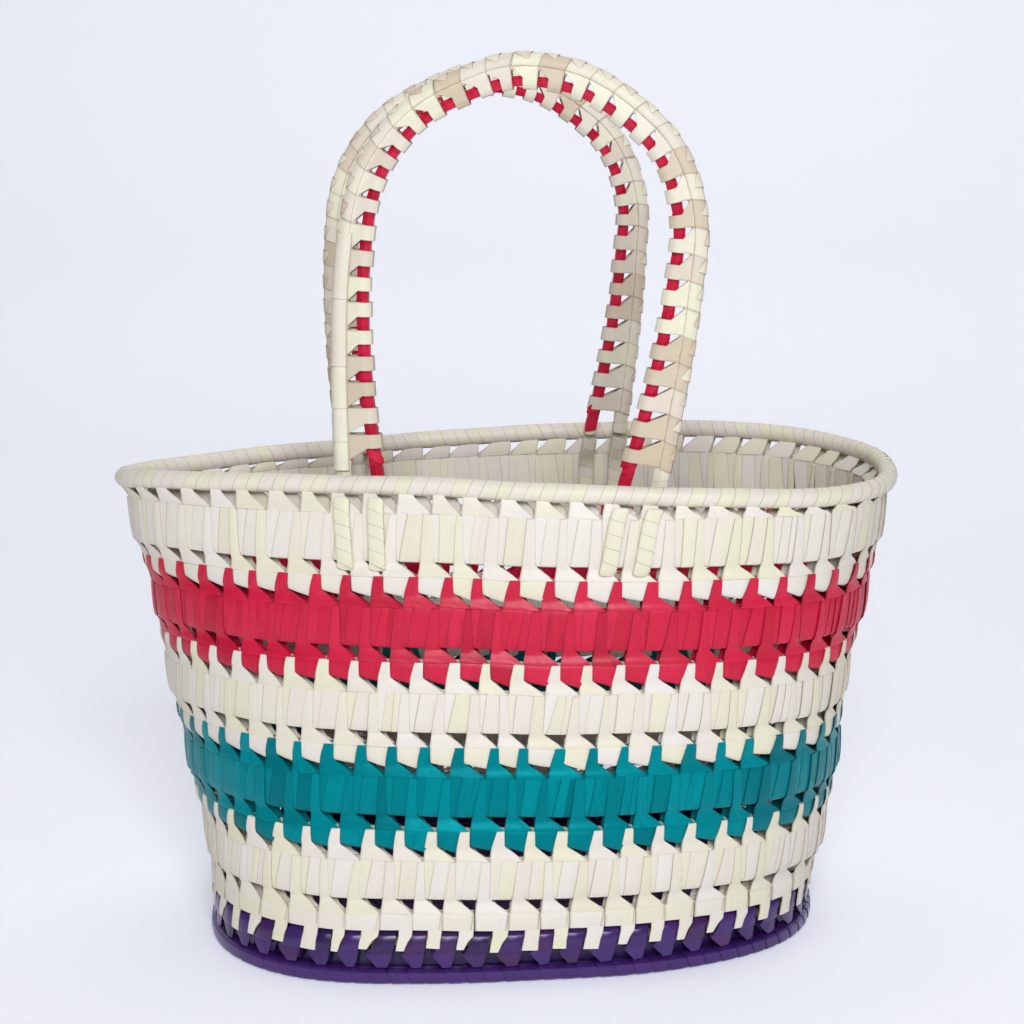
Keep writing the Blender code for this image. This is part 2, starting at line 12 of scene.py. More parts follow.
import bpy
import numpy as np
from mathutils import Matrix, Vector

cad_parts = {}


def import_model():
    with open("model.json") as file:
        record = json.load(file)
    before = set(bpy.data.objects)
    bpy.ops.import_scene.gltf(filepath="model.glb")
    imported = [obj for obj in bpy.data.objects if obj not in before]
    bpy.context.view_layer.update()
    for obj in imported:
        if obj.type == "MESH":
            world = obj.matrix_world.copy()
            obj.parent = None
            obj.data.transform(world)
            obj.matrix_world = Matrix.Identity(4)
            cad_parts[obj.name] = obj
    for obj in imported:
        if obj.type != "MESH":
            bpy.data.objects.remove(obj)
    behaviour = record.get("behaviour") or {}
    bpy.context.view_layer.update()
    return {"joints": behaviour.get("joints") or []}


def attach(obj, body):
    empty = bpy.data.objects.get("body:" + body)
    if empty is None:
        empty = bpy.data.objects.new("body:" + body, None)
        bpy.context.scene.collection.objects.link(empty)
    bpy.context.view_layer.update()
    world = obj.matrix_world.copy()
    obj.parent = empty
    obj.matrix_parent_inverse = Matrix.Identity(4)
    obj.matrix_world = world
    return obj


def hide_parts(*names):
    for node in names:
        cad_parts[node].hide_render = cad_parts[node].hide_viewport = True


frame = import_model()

# Plan of the rim and of the base; the rim's drop and twist are a little more than the solids'
RIM_LENGTH = 0.4000
RIM_MID_WIDTH = 0.1912
RIM_SQUARENESS = 2.26
RIM_FULLNESS_SHARE = 0.25
RIM_TILT_SHARE = 0.004
RIM_END_DROP = 0.0060
RIM_TWIST = 0.0070
ROW_WARP_SHARE = 0.5
BASE_LENGTH = 0.3150
BASE_MID_WIDTH = 0.2312
BASE_SQUARENESS = 2.77
BASE_FULLNESS_SHARE = -0.13
BASE_SHIFT = 0.0021
WAIST_INSET = 0.0050
OUTLINE_STEPS = 720

# How far the two ends stand in from the line between base and rim, as shares of the waist inset:
# share of the wall's height, left end, right end
WAIST_SHARES = (
    (0.00, 0.00, 0.00),
    (0.06, 0.80, 0.80),
    (0.20, 1.00, 0.25),
    (0.36, 0.75, 0.30),
    (0.53, 0.50, 0.80),
    (0.70, 0.85, 0.55),
    (0.89, 0.35, 0.35),
    (1.00, 0.00, 0.00),
)

# Heights and thicknesses of the courses, as in the solids
FOOT_HEIGHT = 0.0088
PURPLE_HEIGHT = 0.0100
NARROW_HEIGHT = 0.0082
BAND_HEIGHT = 0.0200
TOP_BAND_HEIGHT = 0.0240
RIM_HEIGHT = 0.0100
KNOT_HEIGHT = 0.0059
SEAM_HEIGHT = 0.0018
FOOT_THICKNESS = 0.0096
NARROW_THICKNESS = 0.0064
BAND_THICKNESS = 0.0070
RIM_THICKNESS = 0.0100
MAT_THICKNESS = 0.0070

# Unevenness of the wall
WOBBLE_OUT = 0.00035
WOBBLE_UP = 0.00025

# Base mat
MAT_RINGS = 13
MAT_SPINE_HALF = 0.045
MAT_STRIP_PITCH = 0.0125

# Leaf strips of the wall
LEAF = 0.00045
CELLS = 58
POST_SHIFT_SHARE = 0.65
CREASE_FALL = 0.0006
TAB_FALL = 0.0040
TAB_FALL_SPREAD = 0.0015
SHINGLE = 0.0004

# How steeply each row takes the wall's slope; the knot row under a wide band takes the rest
BAND_SLOPE_SHARE = 0.30
COIL_SLOPE_SHARE = 0.40
UPPER_KNOT_SLOPE_SHARE = 2.30

# A wrap's section: share of the course's height, share of its half thickness, and share of the way
# from its top edges to its bottom edges
WRAP_SHARES = (
    (0.992, 1.12, 0.00),
    (0.945, 1.20, 0.05),
    (0.70, 1.25, 0.30),
    (0.40, 1.25, 0.60),
    (0.13, 1.17, 0.87),
    (0.02, 0.90, 0.98),
    (-0.015, 0.25, 1.00),
    (0.05, -0.80, 0.95),
    (0.45, -1.08, 0.55),
    (0.985, -0.97, 0.02),
)

# A knot's strip: where it is, share of that height, share of half the thickness there, left edge in
# cells, how much of the post's top left place is added to it, right edge in cells
KNOT_SHARES = (
    ("gap", -0.04, -1.02, 0.02, 0.0, 0.90),
    ("gap", 0.30, -0.92, 0.00, 0.0, 0.66),
    ("above", -0.02, -0.90, 0.00, 0.0, 0.45),
    ("above", 0.12, -1.18, 0.00, 0.3, 0.38),
    ("above", 0.55, -1.26, 0.00, 0.6, 0.38),
    ("above", 0.93, -1.05, 0.00, 1.0, 0.38),
    ("above", 1.03, 0.10, 0.00, 1.0, 0.38),
    ("above", 0.955, 1.20, 0.00, 1.0, 0.38),
    ("above", 0.66, 1.26, 0.00, 0.68, 0.38),
    ("above", 0.30, 1.24, 0.00, 0.30, 0.38),
    ("above", 0.05, 1.10, 0.00, 0.05, 0.385),
    ("gap", 0.90, 0.90, 0.00, 0.0, 0.46),
    ("gap", 0.64, 0.86, 0.00, 0.0, 0.62),
    ("gap", 0.33, 0.95, 0.00, 0.0, 0.81),
    ("gap", 0.05, 1.12, 0.00, 0.0, 0.99),
    ("gap", -0.06, 1.08, 0.01, 0.0, 0.98),
)

# The same for the knots that hang from under the rim
RIM_KNOT_SHARES = (
    ("gap", -0.04, -1.02, 0.02, 0.0, 0.98),
    ("gap", 0.30, -1.05, 0.00, 0.0, 0.95),
    ("gap", 0.80, -0.90, 0.00, 0.0, 0.76),
    ("above", 0.16, -0.52, 0.02, 0.0, 0.60),
    ("above", 0.40, 0.00, 0.02, 0.0, 0.45),
    ("above", 0.16, 0.50, 0.00, 0.0, 0.38),
    ("above", 0.02, 0.55, 0.00, 0.0, 0.44),
    ("gap", 0.66, 0.86, 0.00, 0.0, 0.61),
    ("gap", 0.33, 0.98, 0.00, 0.0, 0.81),
    ("gap", 0.05, 1.12, 0.00, 0.0, 0.99),
    ("gap", -0.06, 1.08, 0.01, 0.0, 0.98),
)

# Purple tabs over the foot, knots under them, and natural teeth hung over them
PURPLE_TAB_SHARES = (
    (0.60, -0.90, 0.00, 0.49),
    (0.96, -0.70, 0.00, 0.49),
    (1.06, 0.10, 0.00, 0.50),
    (0.98, 0.95, 0.00, 0.50),
    (0.84, 1.26, -0.03, 0.49),
    (0.50, 1.38, -0.13, 0.47),
    (0.20, 1.38, -0.23, 0.44),
    (0.03, 1.20, -0.29, 0.42),
    (-0.03, 0.80, -0.30, 0.42),
    (0.02, 0.10, -0.30, 0.42),
)
PURPLE_KNOT_SHARES = (
    (-0.10, -0.60, 0.00, 0.33),
    (0.60, -0.95, -0.20, 0.40),
    (1.10, -0.60, -0.34, 0.44),
    (1.25, 0.30, -0.38, 0.44),
    (1.02, 0.98, -0.34, 0.42),
    (0.72, 1.00, -0.27, 0.40),
    (0.38, 0.98, -0.15, 0.37),
    (0.06, 1.00, -0.02, 0.33),
    (-0.12, 0.86, 0.00, 0.32),
)

# Purple leaf that closes the foot behind the knots, and its tint: the darkest purple with fully
# darkened edges, a painted shade that keeps the gap behind the knots dark
PURPLE_BACK_SHARES = (
    (-0.60, -1.30, -0.58, 0.44),
    (0.20, -1.25, -0.58, 0.44),
    (0.90, -1.15, -0.58, 0.44),
    (1.60, -1.10, -0.58, 0.44),
)
PURPLE_BACK_SHADE_TINT = [0.75, 0.0, 1.0]

# Lowest natural coil: its tabs over the teeth, by share of its height, share of half its thickness
# and right edge; the left edge is at 0
LOW_TAB_SHARES = (
    (1.00, 0.50, 0.97),
    (0.99, 1.14, 0.97),
    (0.93, 1.28, 0.97),
    (0.68, 1.38, 0.96),
    (0.40, 1.42, 0.95),
    (0.12, 1.42, 0.93),
    (0.00, 1.38, 0.92),
)
TOOTH_LEFT = 0.53

# Windings of the rim and of the foot, and where the rim's pin holes are
RIM_WINDINGS = 138
FOOT_WINDINGS = 98
RIM_ROPE_RADIUS = 0.0046
FOOT_ROPE_RADII = (0.0041, 0.0034)
FOOT_ROPE_OFFSET = 0.0
PIN_HOLE_RADIUS = 0.00042
PIN_HOLE_SHARES = (0.0030, 0.0065, 0.0100, 0.0132, 0.9930, 0.0240, 0.5030, 0.4960)

# Lines of the handles' rods, which stand closer at the top than in the solids
ROD_SPACING_TOP = 0.0086
ROD_SPACING_FOOT = 0.0166
LEFT_LEG_X = -0.0752
BACK_LEG_SHIFT = -0.0135
ARCH_RISE = 0.1980
ARCH_SHARES = (
    (-1.00, 0.00),
    (-1.02, 0.29),
    (-1.00, 0.53),
    (-0.90, 0.735),
    (-0.62, 0.885),
    (-0.22, 0.97),
    (0.11, 1.00),
    (0.53, 0.97),
    (0.93, 0.865),
    (1.12, 0.76),
    (1.205, 0.63),
    (1.185, 0.50),
    (1.125, 0.30),
    (1.00, 0.00),
)
ARCH_STEPS = 241

# Rods under their ties (thinner than in the solids), ties round both, fillers on the outer rod
OUTER_WOUND_RADIUS = 0.0040
INNER_RADIUS_TOP = 0.0025
INNER_RADIUS_FOOT = 0.0034
ROD_FACET_SHARE = 0.30
ROD_WINDING_PITCH = 0.0066
TIES = 37
FIRST_TIE = 0.0230
LAST_TIE = 0.0120
TIE_WIDTH = 0.0070
TIE_LEAF = 0.0005
TIE_LOOSENESS = 0.0007
TIE_SKEW = 0.0023
CREASE_ANGLE = 62
CREASE_DEPTH = 0.0009
FILLER_SHARE = 0.52
FILLER_ANGLE = 112
RED_END = 0.0025
LEG_STRIP_ENDS = (0.0060, 0.0200, 0.0360, 0.0560, 0.0880, 0.1160)
LEG_STRIP_LAP = 0.0030
LEG_STRIP_ANGLES = (50, 212)
LEG_STRIP_RISE = 0.0004
LEG_STRIP_TUCK = 0.0007
LEG_STRIP_TUCK_RUN = 0.006
LEG_STRIP_LIP = 0.0004
LEG_STRIP_LIP_RUN = 0.002
FLAP_STEPS = (
    (0, 0.0026), (0.25, 0.0028), (0.5, 0.0028), (0.75, 0.0026), (0.92, 0.0021), (1, 0.0010),
)
FLAP_TOP = 0.0155
FLAP_FALL = 0.0050

# Tails of the rods round the top band, a little flatter than in the solids
TAIL_WIDTH = 0.0084
TAIL_THICKNESS = 0.0034
TAIL_BEND_RADIUS = 0.0030
TAIL_PITCH = 0.0066

# Front tails: how far each one's outer part stands along X from its rod, and its slope towards -X
FRONT_TAILS = {
    "outer_left": (0.0044, -0.06),
    "inner_left": (0.0043, -0.03),
    "inner_right": (-0.0013, 0.155),
    "outer_right": (-0.0025, 0.155),
}

# Backdrop: its section, how much of its paleness is seen whatever light falls on it, its colours
BACKDROP_PROFILE = ((-2.0, 0.0), (0.9, 0.0), (1.25, 0.05), (1.5, 0.25), (1.6, 0.6), (1.6, 2.4))
BACKDROP_HALF_WIDTH = 2.6
BACKDROP_GLOW = 0.28
BACKDROP_COLOUR = (246, 246, 250)
GLOW_COLOUR = (224, 230, 255)

# Light: each lamp's place, aim, size, power and colour, and the world's colour and strength
LAMPS = {
    "key": ((0.2, -2.1, 1.3), (0, 0, 0.15), (1.0, 0.8), 39, (0.95, 0.975, 1.0)),
    "back": ((0.2, 0.9, 1.9), (0, 1.3, 0.3), (2.2, 1.2), 9, (0.95, 0.97, 1.0)),
}
WORLD_COLOUR = (247, 242, 232)
WORLD_STRENGTH = 0.20

# Parts of a leaf's range of tones that each piece draws from
WALL_TONES = (0.0, 0.7)
RIM_TONES = (0.25, 0.62)
RING_TONES = (0.0, 0.5)
HANDLE_TONES = (0.55, 1.0)
TAIL_TONES = (0.45, 0.75)

# Camera of the photograph
CAMERA_PLACE = (0.0241, -1.0323, 0.3995)
CAMERA_AZIMUTH = 0.0197
CAMERA_ELEVATION = 0.1831
CAMERA_ROLL = -0.0098
FOCAL_PIXELS = 2036.82
IMAGE_PIXELS = 1024
SENSOR_WIDTH = 36.0

Course = namedtuple("Course", "name slot height thickness row_above")


def coil(name, colour):
    """A narrow course of the wall."""
    return Course(name + "_coil", colour + "_leaf", NARROW_HEIGHT, NARROW_THICKNESS, KNOT_HEIGHT)


def band(name, colour, height=BAND_HEIGHT):
    """A wide course of the wall."""
    return Course(name + "_band", colour + "_leaf", height, BAND_THICKNESS, KNOT_HEIGHT)


COURSES = (
    Course("foot_coil", "purple_leaf", FOOT_HEIGHT, FOOT_THICKNESS, KNOT_HEIGHT),
    Course("purple_coil", "purple_leaf", PURPLE_HEIGHT, NARROW_THICKNESS, SEAM_HEIGHT),
    coil("low_natural", "natural"), band("low_natural", "natural"),
    coil("teal", "teal"), band("teal", "teal"),
    coil("mid_natural", "natural"), band("mid_natural", "natural"),
    coil("red", "red"), band("red", "red"),
    coil("top_natural", "natural"), band("top_natural", "natural", TOP_BAND_HEIGHT),
    Course("rim", "natural_leaf", RIM_HEIGHT, RIM_THICKNESS, 0),
)
FOOT, PURPLE, LOW_NATURAL, RIM = 0, 1, 2, 12
BOTTOMS = [sum(c.height + c.row_above for c in COURSES[:index]) for index in range(len(COURSES))]
FOOT_MIDDLE = FOOT_HEIGHT / 2
RIM_BOTTOM = BOTTOMS[RIM]
RIM_MIDDLE = RIM_BOTTOM + RIM_HEIGHT / 2
TOP_BAND_TOP = RIM_BOTTOM - KNOT_HEIGHT
TAIL_TOP = TOP_BAND_TOP + KNOT_HEIGHT / 2
TAIL_BOTTOM = TOP_BAND_TOP - TOP_BAND_HEIGHT - KNOT_HEIGHT / 2


def oval(half_length, half_width, squareness, fullness, shift):
    """Plan outline at equal steps of its own length, from the +X tip and anticlockwise."""
    angle = np.linspace(0, 2 * np.pi, OUTLINE_STEPS + 1)
    along = np.sign(np.cos(angle)) * np.abs(np.cos(angle)) ** (2 / squareness)
    across = np.sign(np.sin(angle)) * np.abs(np.sin(angle)) ** (2 / squareness)
    x = shift + half_length * along
    y = half_width * (1 + fullness * along) * across
    length = np.concatenate([[0], np.cumsum(np.hypot(np.diff(x), np.diff(y)))])
    even = np.linspace(0, length[-1], OUTLINE_STEPS + 1)
    return np.stack([np.interp(even, length, x), np.interp(even, length, y)], -1)


RIM_OUTLINE = oval(
    (RIM_LENGTH - RIM_THICKNESS) / 2,
    (RIM_MID_WIDTH - RIM_THICKNESS) / 2,
    RIM_SQUARENESS,
    RIM_FULLNESS_SHARE,
    0,
)
BASE_OUTLINE = oval(
    (BASE_LENGTH - FOOT_THICKNESS) / 2,
    (BASE_MID_WIDTH - FOOT_THICKNESS) / 2,
    BASE_SQUARENESS,
    BASE_FULLNESS_SHARE,
    BASE_SHIFT,
)


def slope_levels():
    """Heights of the rows' edges, and how far up the wall's slope each edge stands."""
    group = NARROW_HEIGHT + BAND_HEIGHT + 2 * KNOT_HEIGHT
    taken = (COIL_SLOPE_SHARE * NARROW_HEIGHT + BAND_SLOPE_SHARE * BAND_HEIGHT
             + UPPER_KNOT_SLOPE_SHARE * KNOT_HEIGHT)
    lower_knot = (group - taken) / KNOT_HEIGHT
    levels, leans = [0.0, BOTTOMS[LOW_NATURAL]], [0.0, BOTTOMS[LOW_NATURAL]]
    for course in COURSES[LOW_NATURAL:RIM]:
        wide = course.height > PURPLE_HEIGHT
        slopes = COIL_SLOPE_SHARE, lower_knot
        if wide:
            slopes = BAND_SLOPE_SHARE, UPPER_KNOT_SLOPE_SHARE
        for height, slope in zip((course.height, course.row_above), slopes):
            levels.append(levels[-1] + height)
            leans.append(leans[-1] + slope * height)
    levels[-1] = leans[-1] = RIM_BOTTOM
    return levels + [RIM_BOTTOM + RIM_HEIGHT], leans + [RIM_BOTTOM + RIM_HEIGHT]


LEVELS, LEANS = slope_levels()
WAIST = np.array(WAIST_SHARES)


def on_outline(outline, turn):
    """Plan points of an outline at shares of one turn."""
    place = np.mod(turn, 1) * OUTLINE_STEPS
    steps = np.arange(OUTLINE_STEPS + 1)
    return np.stack([np.interp(place, steps, outline[:, axis]) for axis in (0, 1)], -1)


def plan(turn, height):
    """Plan points of the wall's middle surface; its two ends stand in at the waist."""
    share = (height - FOOT_MIDDLE) / (RIM_MIDDLE - FOOT_MIDDLE)
    base = on_outline(BASE_OUTLINE, turn)
    rim = on_outline(RIM_OUTLINE, turn)
    endwise = 2 * rim[..., 0] / RIM_LENGTH
    left, right = [np.interp(share, WAIST[:, 0], WAIST[:, column]) for column in (1, 2)]
    points = base + (rim - base) * share[..., None]
    points[..., 0] -= WAIST_INSET * np.where(endwise > 0, right, left) * endwise * np.abs(endwise)
    return points


def wobble(turn, height):
    """Small smooth unevenness of a handmade wall: outwards, and up."""
    round_once = 2 * np.pi * turn
    out = np.sin(5 * round_once + 40 * height) + 0.7 * np.sin(11 * round_once - 60 * height + 1)
    up = np.sin(7 * round_once + 2) + 0.6 * np.sin(13 * round_once + 30 * height)
    return WOBBLE_OUT * out, WOBBLE_UP * up * np.clip(height / BOTTOMS[LOW_NATURAL], 0, 1)


def uneven(turn, height):
    """Turn, moved a little so that the cells aren't all as wide."""
    round_once = 2 * np.pi * turn + 2 * height
    return turn + 0.0009 * np.sin(17 * round_once + 1) + 0.0004 * np.sin(26 * round_once)


def wall(turn, height, offset):
    """Points of the wall, moved out of the basket by offset, with their outward directions."""
    turn, height, offset = np.broadcast_arrays(turn, height, offset)
    lean = np.interp(height, LEVELS, LEANS)
    step = 1 / OUTLINE_STEPS
    along = plan(turn + step, lean) - plan(turn - step, lean)
    normal = np.stack([along[..., 1], -along[..., 0]], -1)
    normal /= np.linalg.norm(normal, axis=-1, keepdims=True)
    rim = on_outline(RIM_OUTLINE, turn)
    endwise = 2 * rim[..., 0] / RIM_LENGTH
    sidewise = 2 * rim[..., 1] / RIM_MID_WIDTH
    warp = RIM_TWIST * endwise * sidewise - RIM_END_DROP * endwise ** 2
    share = np.clip((height - FOOT_MIDDLE) / (RIM_MIDDLE - FOOT_MIDDLE), 0, None)
    warp = warp * np.interp(height, (TOP_BAND_TOP, RIM_BOTTOM), (ROW_WARP_SHARE, 1.0))
    out, up = wobble(turn, height)
    flat = plan(turn, lean) + normal * (offset + out)[..., None]
    z = height + share * (RIM_TILT_SHARE * rim[..., 0] + warp) + up
    return np.concatenate([flat, z[..., None]], -1), np.concatenate([normal, 0 * z[..., None]], -1)


def new_object(name, data):
    """Object that holds some data, linked to the scene."""
    item = bpy.data.objects.new(name, data)
    bpy.context.scene.collection.objects.link(item)
    return item


def strip_faces(rows, cols, closed):
    """Quads of a closed strip whose outer points come before its inner ones, row by row."""
    size = rows * cols
    last = rows if closed else rows - 1

    def at(row, col):
        return (row % rows) * cols + col

    quads = []
    for row in range(last):
        for col in range(cols - 1):
            a, b, c, d = at(row, col), at(row + 1, col), at(row + 1, col + 1), at(row, col + 1)
            quads.append((a, b, c, d))
            quads.append((a + size, d + size, c + size, b + size))
        a, b = at(row, 0), at(row + 1, 0)
        quads.append((b, a, a + size, b + size))
        a, b = at(row, cols - 1), at(row + 1, cols - 1)
        quads.append((a, b, b + size, a + size))
    if not closed:
        for col in range(cols - 1):
            a, b = at(0, col), at(0, col + 1)
            quads.append((a, b, b + size, a + size))
            a, b = at(rows - 1, col), at(rows - 1, col + 1)
            quads.append((b, a, a + size, b + size))
    return np.array(quads)


class Leaves:
    """Leaf strips gathered for one mesh, each with its own tint and its place across and along."""

    shapes = {}

    def __init__(self, seed, tones=(0.0, 1.0)):
        self.random = random.Random(seed)
        self.tones = tones
        self.points = []
        self.faces = []
        self.places = []
        self.tints = []
        self.count = 0

    def add(self, grid, closed=False, thickness=LEAF, tint=None):
        """Add a strip by its outer face: rows along it, columns across it from left to right."""
        rows, cols, _ = grid.shape
        if closed:
            along = np.roll(grid, -1, 0) - np.roll(grid, 1, 0)
        else:
            along = np.gradient(grid, axis=0)
        normal = np.cross(along, np.gradient(grid, axis=1))
        normal /= np.linalg.norm(normal, axis=2, keepdims=True) + 1e-12
        inner = grid - normal * thickness
        key = (rows, cols, closed)
        if key not in self.shapes:
            self.shapes[key] = strip_faces(*key)
        self.faces.append(self.shapes[key] + self.count)
        self.points += [grid.reshape(-1, 3), inner.reshape(-1, 3)]
        width = np.linalg.norm(grid[:, -1] - grid[:, 0], axis=1).max()
        middle = grid[:, cols // 2]
        steps = np.linalg.norm(np.diff(middle, axis=0), axis=1)
        run = np.concatenate([[0], np.cumsum(steps)])
        share = np.linspace(0, 1, cols)
        place = np.zeros((rows, cols, 3))
        place[..., 0] = share * width
        place[..., 1] = run[:, None]
        place[..., 2] = share
        self.places += [place.reshape(-1, 3)] * 2
        pick = self.random
        tint = tint or [pick.uniform(*self.tones), pick.random(), pick.random()]
        self.tints.append(np.tile(tint, (2 * rows * cols, 1)))
        self.count += 2 * rows * cols

    def mesh_object(self, name, material, sharp_angle=38):
        """Mesh object that holds the gathered strips."""
        points = np.concatenate(self.points)
        faces = np.concatenate(self.faces)
        mesh = bpy.data.meshes.new(name)
        mesh.vertices.add(len(points))
        mesh.vertices.foreach_set("co", points.ravel())
        mesh.loops.add(faces.size)
        mesh.loops.foreach_set("vertex_index", faces.ravel())
        mesh.polygons.add(len(faces))
        mesh.polygons.foreach_set("loop_start", np.arange(0, faces.size, 4))
        mesh.update(calc_edges=True)
        for label, values in (("leaf_place", self.places), ("leaf_tint", self.tints)):
            data = mesh.attributes.new(label, "FLOAT_VECTOR", "POINT").data
            data.foreach_set("vector", np.concatenate(values).ravel())
        mesh.shade_smooth()
        mesh.set_sharp_from_angle(angle=math.radians(sharp_angle))
        mesh.materials.append(material)
        return new_object(name, mesh)


def place_piece(item, body, slot, *nodes):
    """Attach a piece to the body it rides on and hide the solids it stands for; slot is not used.
    """
    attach(item, body)
    if nodes:
        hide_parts(*nodes)


def add_piece(leaves, name, materials, body, slot, *nodes):
    """Make a mesh of the gathered strips in its slot's material, and place it."""
    place_piece(leaves.mesh_object(name, materials[slot]), body, slot, *nodes)


def wall_strip(leaves, start, rows, cols=3, camber=0.0002, tilt=0.0, jitter=0.0003, tint=None):
    """A strip on the wall.

    Its rows give height, offset, left and right edge in cells, and how far it falls in one cell.
    """
    rows = np.array(rows)
    share = np.linspace(0, 1, cols)[None, :]
    across = rows[:, 2:3] + (rows[:, 3:4] - rows[:, 2:3]) * share
    facing = np.clip(rows[:, 1:2] / (NARROW_THICKNESS / 2), -1, 1)
    shift = leaves.random.uniform(-jitter, jitter)
    offset = rows[:, 1:2] + facing * (shift + tilt * (share - 0.5) - camber * (2 * share - 1) ** 2)
    height = rows[:, 0:1] - rows[:, 4:5] * across
    points, _ = wall(uneven((start + across) / CELLS, height), height, offset)
    leaves.add(points, tint=tint)


def wrap_rows(course, bottom, left, right, falls):
    """Rows of a strip wrapped round a course: down the outside, under it and up the inside.

    left and right give the edges at the top and at the bottom, falls those of the two ends.
    """
    half = course.thickness / 2
    rows = []
    for up, out, down in WRAP_SHARES:
        low = left[0] + (left[1] - left[0]) * down
        high = right[0] + (right[1] - right[0]) * down
        fall = falls[0] + (falls[1] - falls[0]) * down
        rows.append((bottom + up * course.height, out * half, low, high, fall))
    return rows


def knot_rows(shares, lower, low, above, bottom, post_left, fall):
    """Rows of a knot's strip: from its inner fold over the course above, out to its crease."""
    rows = []
    for where, up, out, left, added, right in shares:
        in_gap = where == "gap"
        level = low + up * (bottom - low) if in_gap else bottom + up * above.height
        half = (lower if in_gap else above).thickness / 2
        offset = out * half + math.copysign(LEAF, out)
        crease = fall if in_gap and up < 0.2 else 0
        rows.append((level, offset, left + added * post_left, right, crease))
    return rows


def add_faces(leaves, start, course, bottom):
    """The wraps that show on a course between its posts."""
    pick = leaves.random
    for cell in range(CELLS):
        at = start + cell + pick.uniform(-0.02, 0.02)
        if course.height > PURPLE_HEIGHT:
            seams = [(0.0, 0.0), (pick.uniform(0.24, 0.38), pick.uniform(0.07, 0.20))]
            if pick.random() < 0.15:
                seams.append((pick.uniform(0.55, 0.62), pick.uniform(0.38, 0.46)))
            seams.append((0.90, 0.67))
            falls = CREASE_FALL, 0.5 * CREASE_FALL
            for left, right in zip(seams, seams[1:]):
                right = right[0] + 0.03, right[1] + 0.03
                rows = wrap_rows(course, bottom, left, right, falls)
                wall_strip(leaves, at, rows, tilt=-pick.uniform(0.5, 1.2) * SHINGLE)
        else:
            fall = TAB_FALL + pick.uniform(-1, 1) * TAB_FALL_SPREAD
            rows = wrap_rows(course, bottom, (0.0, 0.02), (0.84, 0.65), (CREASE_FALL, fall))
            wall_strip(leaves, at, rows, camber=0.0004, tilt=-pick.uniform(0.2, 1.0) * SHINGLE)


def add_knots(leaves, start, index):
    """The knots that tie a course to the one above it, with their posts on that course."""
    pick = leaves.random
    course, above = COURSES[index], COURSES[index + 1]
    low = BOTTOMS[index] + course.height
    wide = above.height > PURPLE_HEIGHT
    shares = RIM_KNOT_SHARES if above.name == "rim" else KNOT_SHARES
    for cell in range(CELLS):
        post_left = pick.uniform(0.08, 0.20) if wide else pick.uniform(0.08, 0.14)
        fall = CREASE_FALL * pick.uniform(0.7, 1.3)
        rows = knot_rows(shares, course, low, above, BOTTOMS[index + 1], post_left, fall)
        tilt = -pick.uniform(0.8, 1.8) * SHINGLE
        wall_strip(leaves, start + cell + pick.uniform(-0.02, 0.02), rows, cols=4, tilt=tilt)


def path_of(points, out, up):
    """Path with the length run at each of its points."""
    steps = np.linalg.norm(np.diff(points, axis=0), axis=1)
    return np.concatenate([[0], np.cumsum(steps)]), points, out, up


def ring_path(height, offset, steps=361):
    """Closed path round the wall: lengths, points, outward and upward directions."""
    turn = np.linspace(0, 1, steps)
    points, out = wall(turn, np.full(steps, height), offset)
    return path_of(points, out, np.tile((0, 0, 1), (steps, 1)))


def along_path(path, values, run, closed):
    """Values of a path at lengths run along it."""
    lengths = path[0]
    run = np.mod(run, lengths[-1]) if closed else np.clip(run, 0, lengths[-1])
    return np.stack([np.interp(run, lengths, values[:, axis]) for axis in range(3)], -1)


def section_factors(angle, power=2.0, hexed=0.0):
    """Factors of a section's two radii at an angle: round, squared by power, or six-sided."""
    cosine, sine = np.cos(angle), np.sin(angle)
    spoke = math.cos(math.pi / 6) / np.cos(np.mod(angle, math.pi / 3) - math.pi / 6)
    scale = 1 - hexed * (1 - spoke)
    across = np.sign(cosine) * np.abs(cosine) ** (2 / power) * scale
    through = np.sign(sine) * np.abs(sine) ** (2 / power) * scale
    return across, through


def outward(grid, middle):
    """The grid, turned so that its outer face looks away from its middle."""
    normal = np.cross(np.roll(grid, -1, 0) - grid, np.gradient(grid, axis=1))
    return grid[:, ::-1] if np.sum(normal * (grid - middle)) < 0 else grid


def winding(leaves, path, first, count, pitch, radii, lean=(0.0, 0.0), sides=12, cols=3, lap=1.12,
            lift=0.0004, closed=True, uneven=0.08, power=2.0, hexed=0.0):
    """Strips wound side by side round a path, each lapping the next one.

    radii is a pair, or a function that gives one at lengths run along the path.
    """
    pick = leaves.random
    angle = np.linspace(0, 2 * np.pi, sides, endpoint=False)[:, None]
    across, through = section_factors(angle, power, hexed)
    share = np.linspace(0, 1, cols)[None, :]
    for number in range(count):
        start = first + pitch * (number + pick.uniform(-uneven, uneven))
        slope = 1 + pick.uniform(-0.2, 0.2)
        slant = slope * (lean[0] * np.cos(angle) + lean[1] * np.sin(angle))
        run = start + share * pitch * lap + slant
        bulge = lift * (1 - share) + 0.4 * lift * np.sin(np.pi * share)
        wide, deep = radii(run) if callable(radii) else radii
        centre = along_path(path, path[1], run, closed)
        out = along_path(path, path[2], run, closed)
        up = along_path(path, path[3], run, closed)
        grid = (centre + out * (across * (wide + bulge))[..., None]
                + up * (through * (deep + bulge))[..., None])
        leaves.add(outward(grid, centre), closed=True)


def splints(name, lines, depth, material, cyclic):
    """Round core splints along lines of points, in one curve object."""
    curve = bpy.data.curves.new(name, "CURVE")
    curve.dimensions = "3D"
    curve.bevel_depth = depth
    curve.bevel_resolution = 2
    curve.use_fill_caps = True
    for line in lines:
        spline = curve.splines.new("POLY")
        spline.points.add(len(line) - 1)
        spline.use_cyclic_u = cyclic
        for target, point in zip(spline.points, line):
            target.co = (*point, 1)
    curve.materials.append(material)
    return new_object(name, curve)


